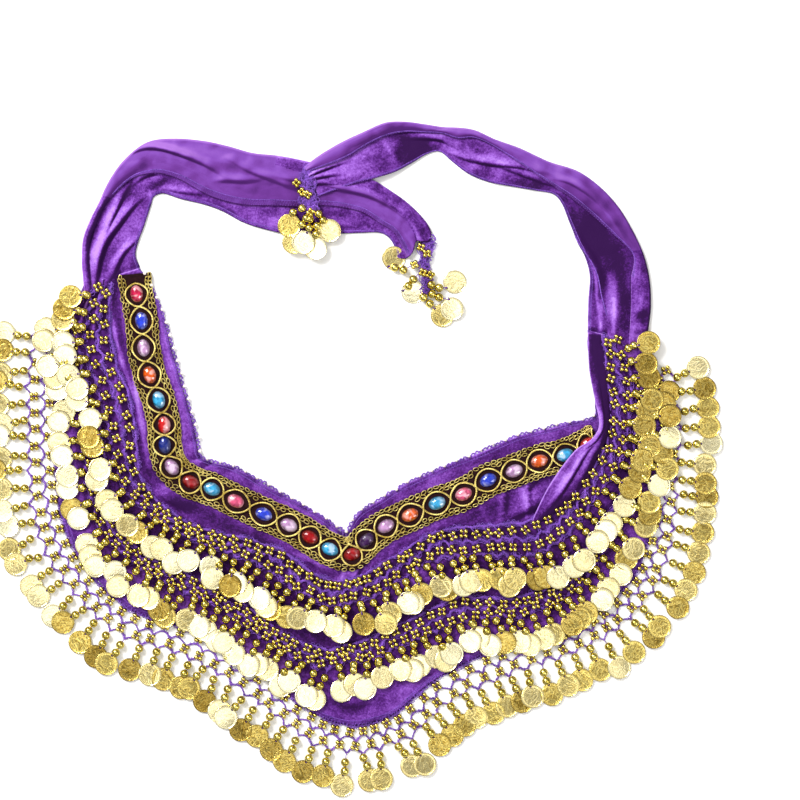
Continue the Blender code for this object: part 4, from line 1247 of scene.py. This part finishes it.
def coin_place(x, y, z, away, nod, lean):
    return (moved_to(x, y, z) @ Matrix.Rotation(math.atan2(away[1], away[0]), 4, "Z")
            @ Matrix.Rotation(math.radians(nod), 4, "Y") @ Matrix.Rotation(math.radians(lean), 4, "X"))


def hang_coin(root, middle, height, lean, nod, finish, drops):
    """A drop from its root to a coin's middle: thread, two beads, loop and coin, added to drops."""
    away = middle - root[:2]
    far = np.linalg.norm(away) - COIN / 2 - 2.3
    away = unit(away)
    side = np.array([away[1], -away[0]])
    path = [root]
    for distance in (max(far - BEAD, 0.6), far):
        x, y = root[:2] + away * distance + side * drops["chance"].uniform(-0.9, 0.9)
        thread_bead(drops, path, x, y, drops["rest"](x, y) + BEAD / 2 + 0.1)
    end_in_coin(drops, path, away, coin_place(*middle, height, away, nod, lean), finish)


def make_drops(name, drops, nodes):
    return [
        make_cords(f"{name}_drop_threads", drops["threads"], 0.65),
        make_cords(f"{name}_drop_loops", drops["loops"], 0.45, closed=True),
        scatter(f"{name}_drop_beads", [ball(BEAD, 12, 7)], drops["beads"], GOLD_BEAD, "gold_bead"),
        scatter(f"{name}_coins", COIN_SHAPES, drops["coins"], COIN_BRASS, "gold_metal", nodes, smooth=False,
                finishes=drops["finishes"]),
    ]


# Where coins are painted dull bronze, as painted shade of coins turned from the light: x, y and reach.
SHADED_COINS = [(64, -88, 8), (145, -95, 10), (117, -136, 8), (-86, -82, 8), (-102, -98, 8), (-108, -72, 7),
             (-203, 46, 8), (-204, 10, 7), (-219, -33, 7), (-172, -89, 8), (-158, -60, 8), (-62, -119, 8),
             (-220, -126, 8), (-193, -149, 8), (-114, -186, 9), (-85, -202, 8), (105, -205, 8),
             (231, 58, 30), (224, 4, 15), (213, -18, 8), (266, 45, 8), (262, -64, 8)]
# Where the coins of the two tiers on the velvet part.
PARTINGS = [(-119, -86), (-25, -133), (-22, -178), (204, -28), (-139, -117), (-208, -6), (60, -106)]
PARTING_REACH = 12
HEM_REACH = 23.0           # from the hem net's edge to the middles of its coins
SLIDE = 0.34               # how far coins slide towards the middle of their stack
STACK_STEP = 0.6           # from one coin of a stack to the next one up

for tier in TIERS:
    places = cells_of[tier.name]
    drops = new_drops(tier.seed + 20, lambda x, y, tier=tier: ground(tier, x, y) + (0.6 if tier.top else 0.0))
    chance = drops["chance"]
    stack = []
    for number in range(len(places) - 1):
        if not stack:          # the coins slide together into little stacks of one to three
            size = chance.choice((1, 2, 2, 3) if tier.top else (1, 1, 2))
            hand = chance.choice((-1, 1))
            stack = [(number + size / 2, level if hand < 0 else size - 1 - level) for level in range(size)]
            glare = np.interp(number / len(places) * LAST_SECTION, tier.glare_at, tier.glare)
            bright = chance.random() < glare
        stack_cell, level = stack.pop(0)
        cell = number + 0.5
        place = place_of(places, cell)
        hung = place_of(places, cell + (stack_cell - cell) * SLIDE)
        reach = section_at(place).reach if tier.top else HEM_REACH
        slack = 3.6 if tier.top else 1.8
        middle = net_line(tier, hung, 1.0) + fall(tier, hung) * (reach + chance.uniform(-slack, slack))
        middle = middle + np.array([chance.uniform(-1.8, 1.8), chance.uniform(-1.8, 1.8)])
        for parting in PARTINGS:
            gap = math.dist(middle, parting)
            if gap < PARTING_REACH and tier.top:
                middle = middle + (middle - parting) / gap * (PARTING_REACH - gap) * 0.6
        height = max(ground(tier, *net_line(tier, place, 1.0)) - 1.9, 0.0) + tier.coin_lift
        height += STACK_STEP * level
        lean = chance.uniform(6.2, 7.6) if bright else chance.uniform(2.2, 3.6)
        lean *= 1.0 if tier.top else 0.8
        nod = chance.uniform(-2.2, 2.2) if tier.top else chance.uniform(-1.2, 1.2)
        # Coins in the glare are painted pale cream, a painted reflection of the light; the rest run from gold
        # to bronze, their tone with painted shade.
        finish = chance.uniform(0.0, 0.20) if bright else chance.choice((.26, .34, .42, .5, .62, .8))
        finish += 0.14 if tier.name == "upper" and place > 24.5 else 0.0
        # Painted shade: coins in the shaded patches take the dark bronze end.
        if any(math.dist(middle, (x, y)) < reach for x, y, reach in SHADED_COINS):
            finish = chance.uniform(0.62, 1.0)
        root = np.array(chain_spot(tier, places, cell, 2))
        hang_coin(root, middle, height, hand * lean, nod, finish, drops)
    sewn_on += make_drops(tier.name, drops, nodes_of(f"{tier.name}_drops_"))

# ---- tassels of the tie ends -------------------------------------------------------------------------
# The end of each tie is drawn together with a clump of crochet. Flowers of seed beads sit on it, and
# five short strings of beads with a coin each hang from it, tangled over one another.
# The last column of a string is its coin's tone and painted light: near 0 is pale cream, a painted
# reflection.
String = namedtuple("String", "root beads loop coin level finish")
Tassel = namedtuple("Tassel", "name height clump flowers strings seed")
TASSELS = [
    Tassel("left_tassel", 0.3,
           [(57, 170, 5), (56, 164, 8), (54.5, 157, 6.5), (53.9, 146, 5), (56, 136, 4), (54.7, 127, 2)],
           [(56, 158), (46.5, 149.5), (53, 143.5), (58.8, 141.5), (51.5, 163)],
           [String((51, 152), ((38, 145.5), (31.3, 147.2)), (26.2, 147.8), (30.5, 154.8), 0, .3),
            String((53, 146), ((45.6, 138.1), (41.8, 132.9)), (37.7, 129.4), (45.4, 128.6), 0, .0),
            String((54.7, 130), ((53.4, 124.3), (58.3, 119.4)), (61.6, 116.3), (68, 110.5), 0, .35),
            String((56, 138), ((59.3, 134), (65.5, 131.7)), (70.8, 131.3), (77.5, 136.3), 0, .15),
            String((55, 134), ((60, 127), (65.5, 124.3)), (73.2, 122.4), (75.5, 115.5), 1, .1)], 41),
    Tassel("right_tassel", 5.0,
           [(-34.5, 224, 5), (-36.5, 214, 8.5), (-35.5, 204, 10), (-33.5, 194, 8), (-30.5, 186, 3)],
           [(-44, 212), (-40, 205.2), (-35.5, 203), (-33.1, 189.6)],
           [String((-37, 202), ((-40, 192.5), (-46.7, 189.4)), (-48.5, 186.5), (-49.7, 179.4), 0, .45),
            String((-35, 192), ((-36.6, 184.8), (-40, 180.2)), (-42.3, 173.6), (-46.2, 166.5), 0, .35),
            String((-33, 190), ((-33.6, 184), (-34.3, 177.6)), (-36.0, 173.6), (-38.9, 166.5), 1, .1),
            String((-30, 186), ((-28.3, 179), (-29.0, 172.4)), (-29.2, 169.2), (-29.6, 161.9), 0, .0),
            String((-31, 194), ((-27, 188.2), (-23.6, 183.4)), (-21.8, 181.8), (-18.8, 175.5), 0, .2)], 42),
]


# The heart of a clump, where hardly any light comes in: a darker copy of the violet cotton, as painted shade.
CLUMP_LAYERS = 6
CLUMP_POINTS = 26
SHADED_COTTON = cotton_material("violet_cotton_in_shade", (0.010, 0.002, 0.045), (0.105, 0.030, 0.260))


def hang_string(string, height, drops):
    """One string of a tassel: beads at their places, then a loop and a coin turned towards it."""
    chance = drops["chance"]
    path = [(*string.root, height + 1.6)]
    for x, y in string.beads:
        thread_bead(drops, path, x, y, height + BEAD / 2 + chance.uniform(0.0, 0.8))
    away = unit(np.subtract(string.coin, string.loop))
    matrix = coin_place(*string.coin, height + 1.0 + string.level * 1.2, away, chance.uniform(-1.5, 1.5),
                        4.0 if string.finish > 0.2 else 7.0)
    end_in_coin(drops, path, away, matrix, string.finish)


for tassel in TASSELS:
    drops = new_drops(tassel.seed, None)
    chance = drops["chance"]
    for string in tassel.strings:
        hang_string(string, tassel.height, drops)
    clump, loose, seeds = [], [], []
    clump_spots = np.linspace(0, len(tassel.clump) - 1, CLUMP_POINTS)
    for layer in range(CLUMP_LAYERS):
        line = [(x + chance.uniform(-w, w) * 0.62, y + chance.uniform(-w, w) * 0.5,
                 tassel.height + 0.9 + 0.6 * layer + chance.uniform(-0.3, 0.3))
                for x, y, w in (through(tassel.clump, spot) for spot in clump_spots)]
        clump += twisted(line, 0.55, 2.9, 0.8) if layer < 3 else []
        loose += [curly(line, 2.9, 5.4)] if layer > 2 else [curly(line[::-1], 1.7, 3.4)]
    for x, y in tassel.flowers:
        turn = chance.uniform(0, math.pi)
        for quarter in circle(4):
            seeds.append(moved_to(x + 2.1 * math.cos(turn + quarter), y + 2.1 * math.sin(turn + quarter),
                                  tassel.height + 4.0 + chance.uniform(-0.4, 0.6)))
    make_cords(f"{tassel.name}_clump", clump, 0.95, SHADED_COTTON)
    make_cords(f"{tassel.name}_loose_loops", loose, 0.75)
    scatter(f"{tassel.name}_flowers", [ball(SEED, 8, 5)], seeds, GOLD_BEAD, "gold_bead")
    make_drops(tassel.name, drops, [tassel.name])
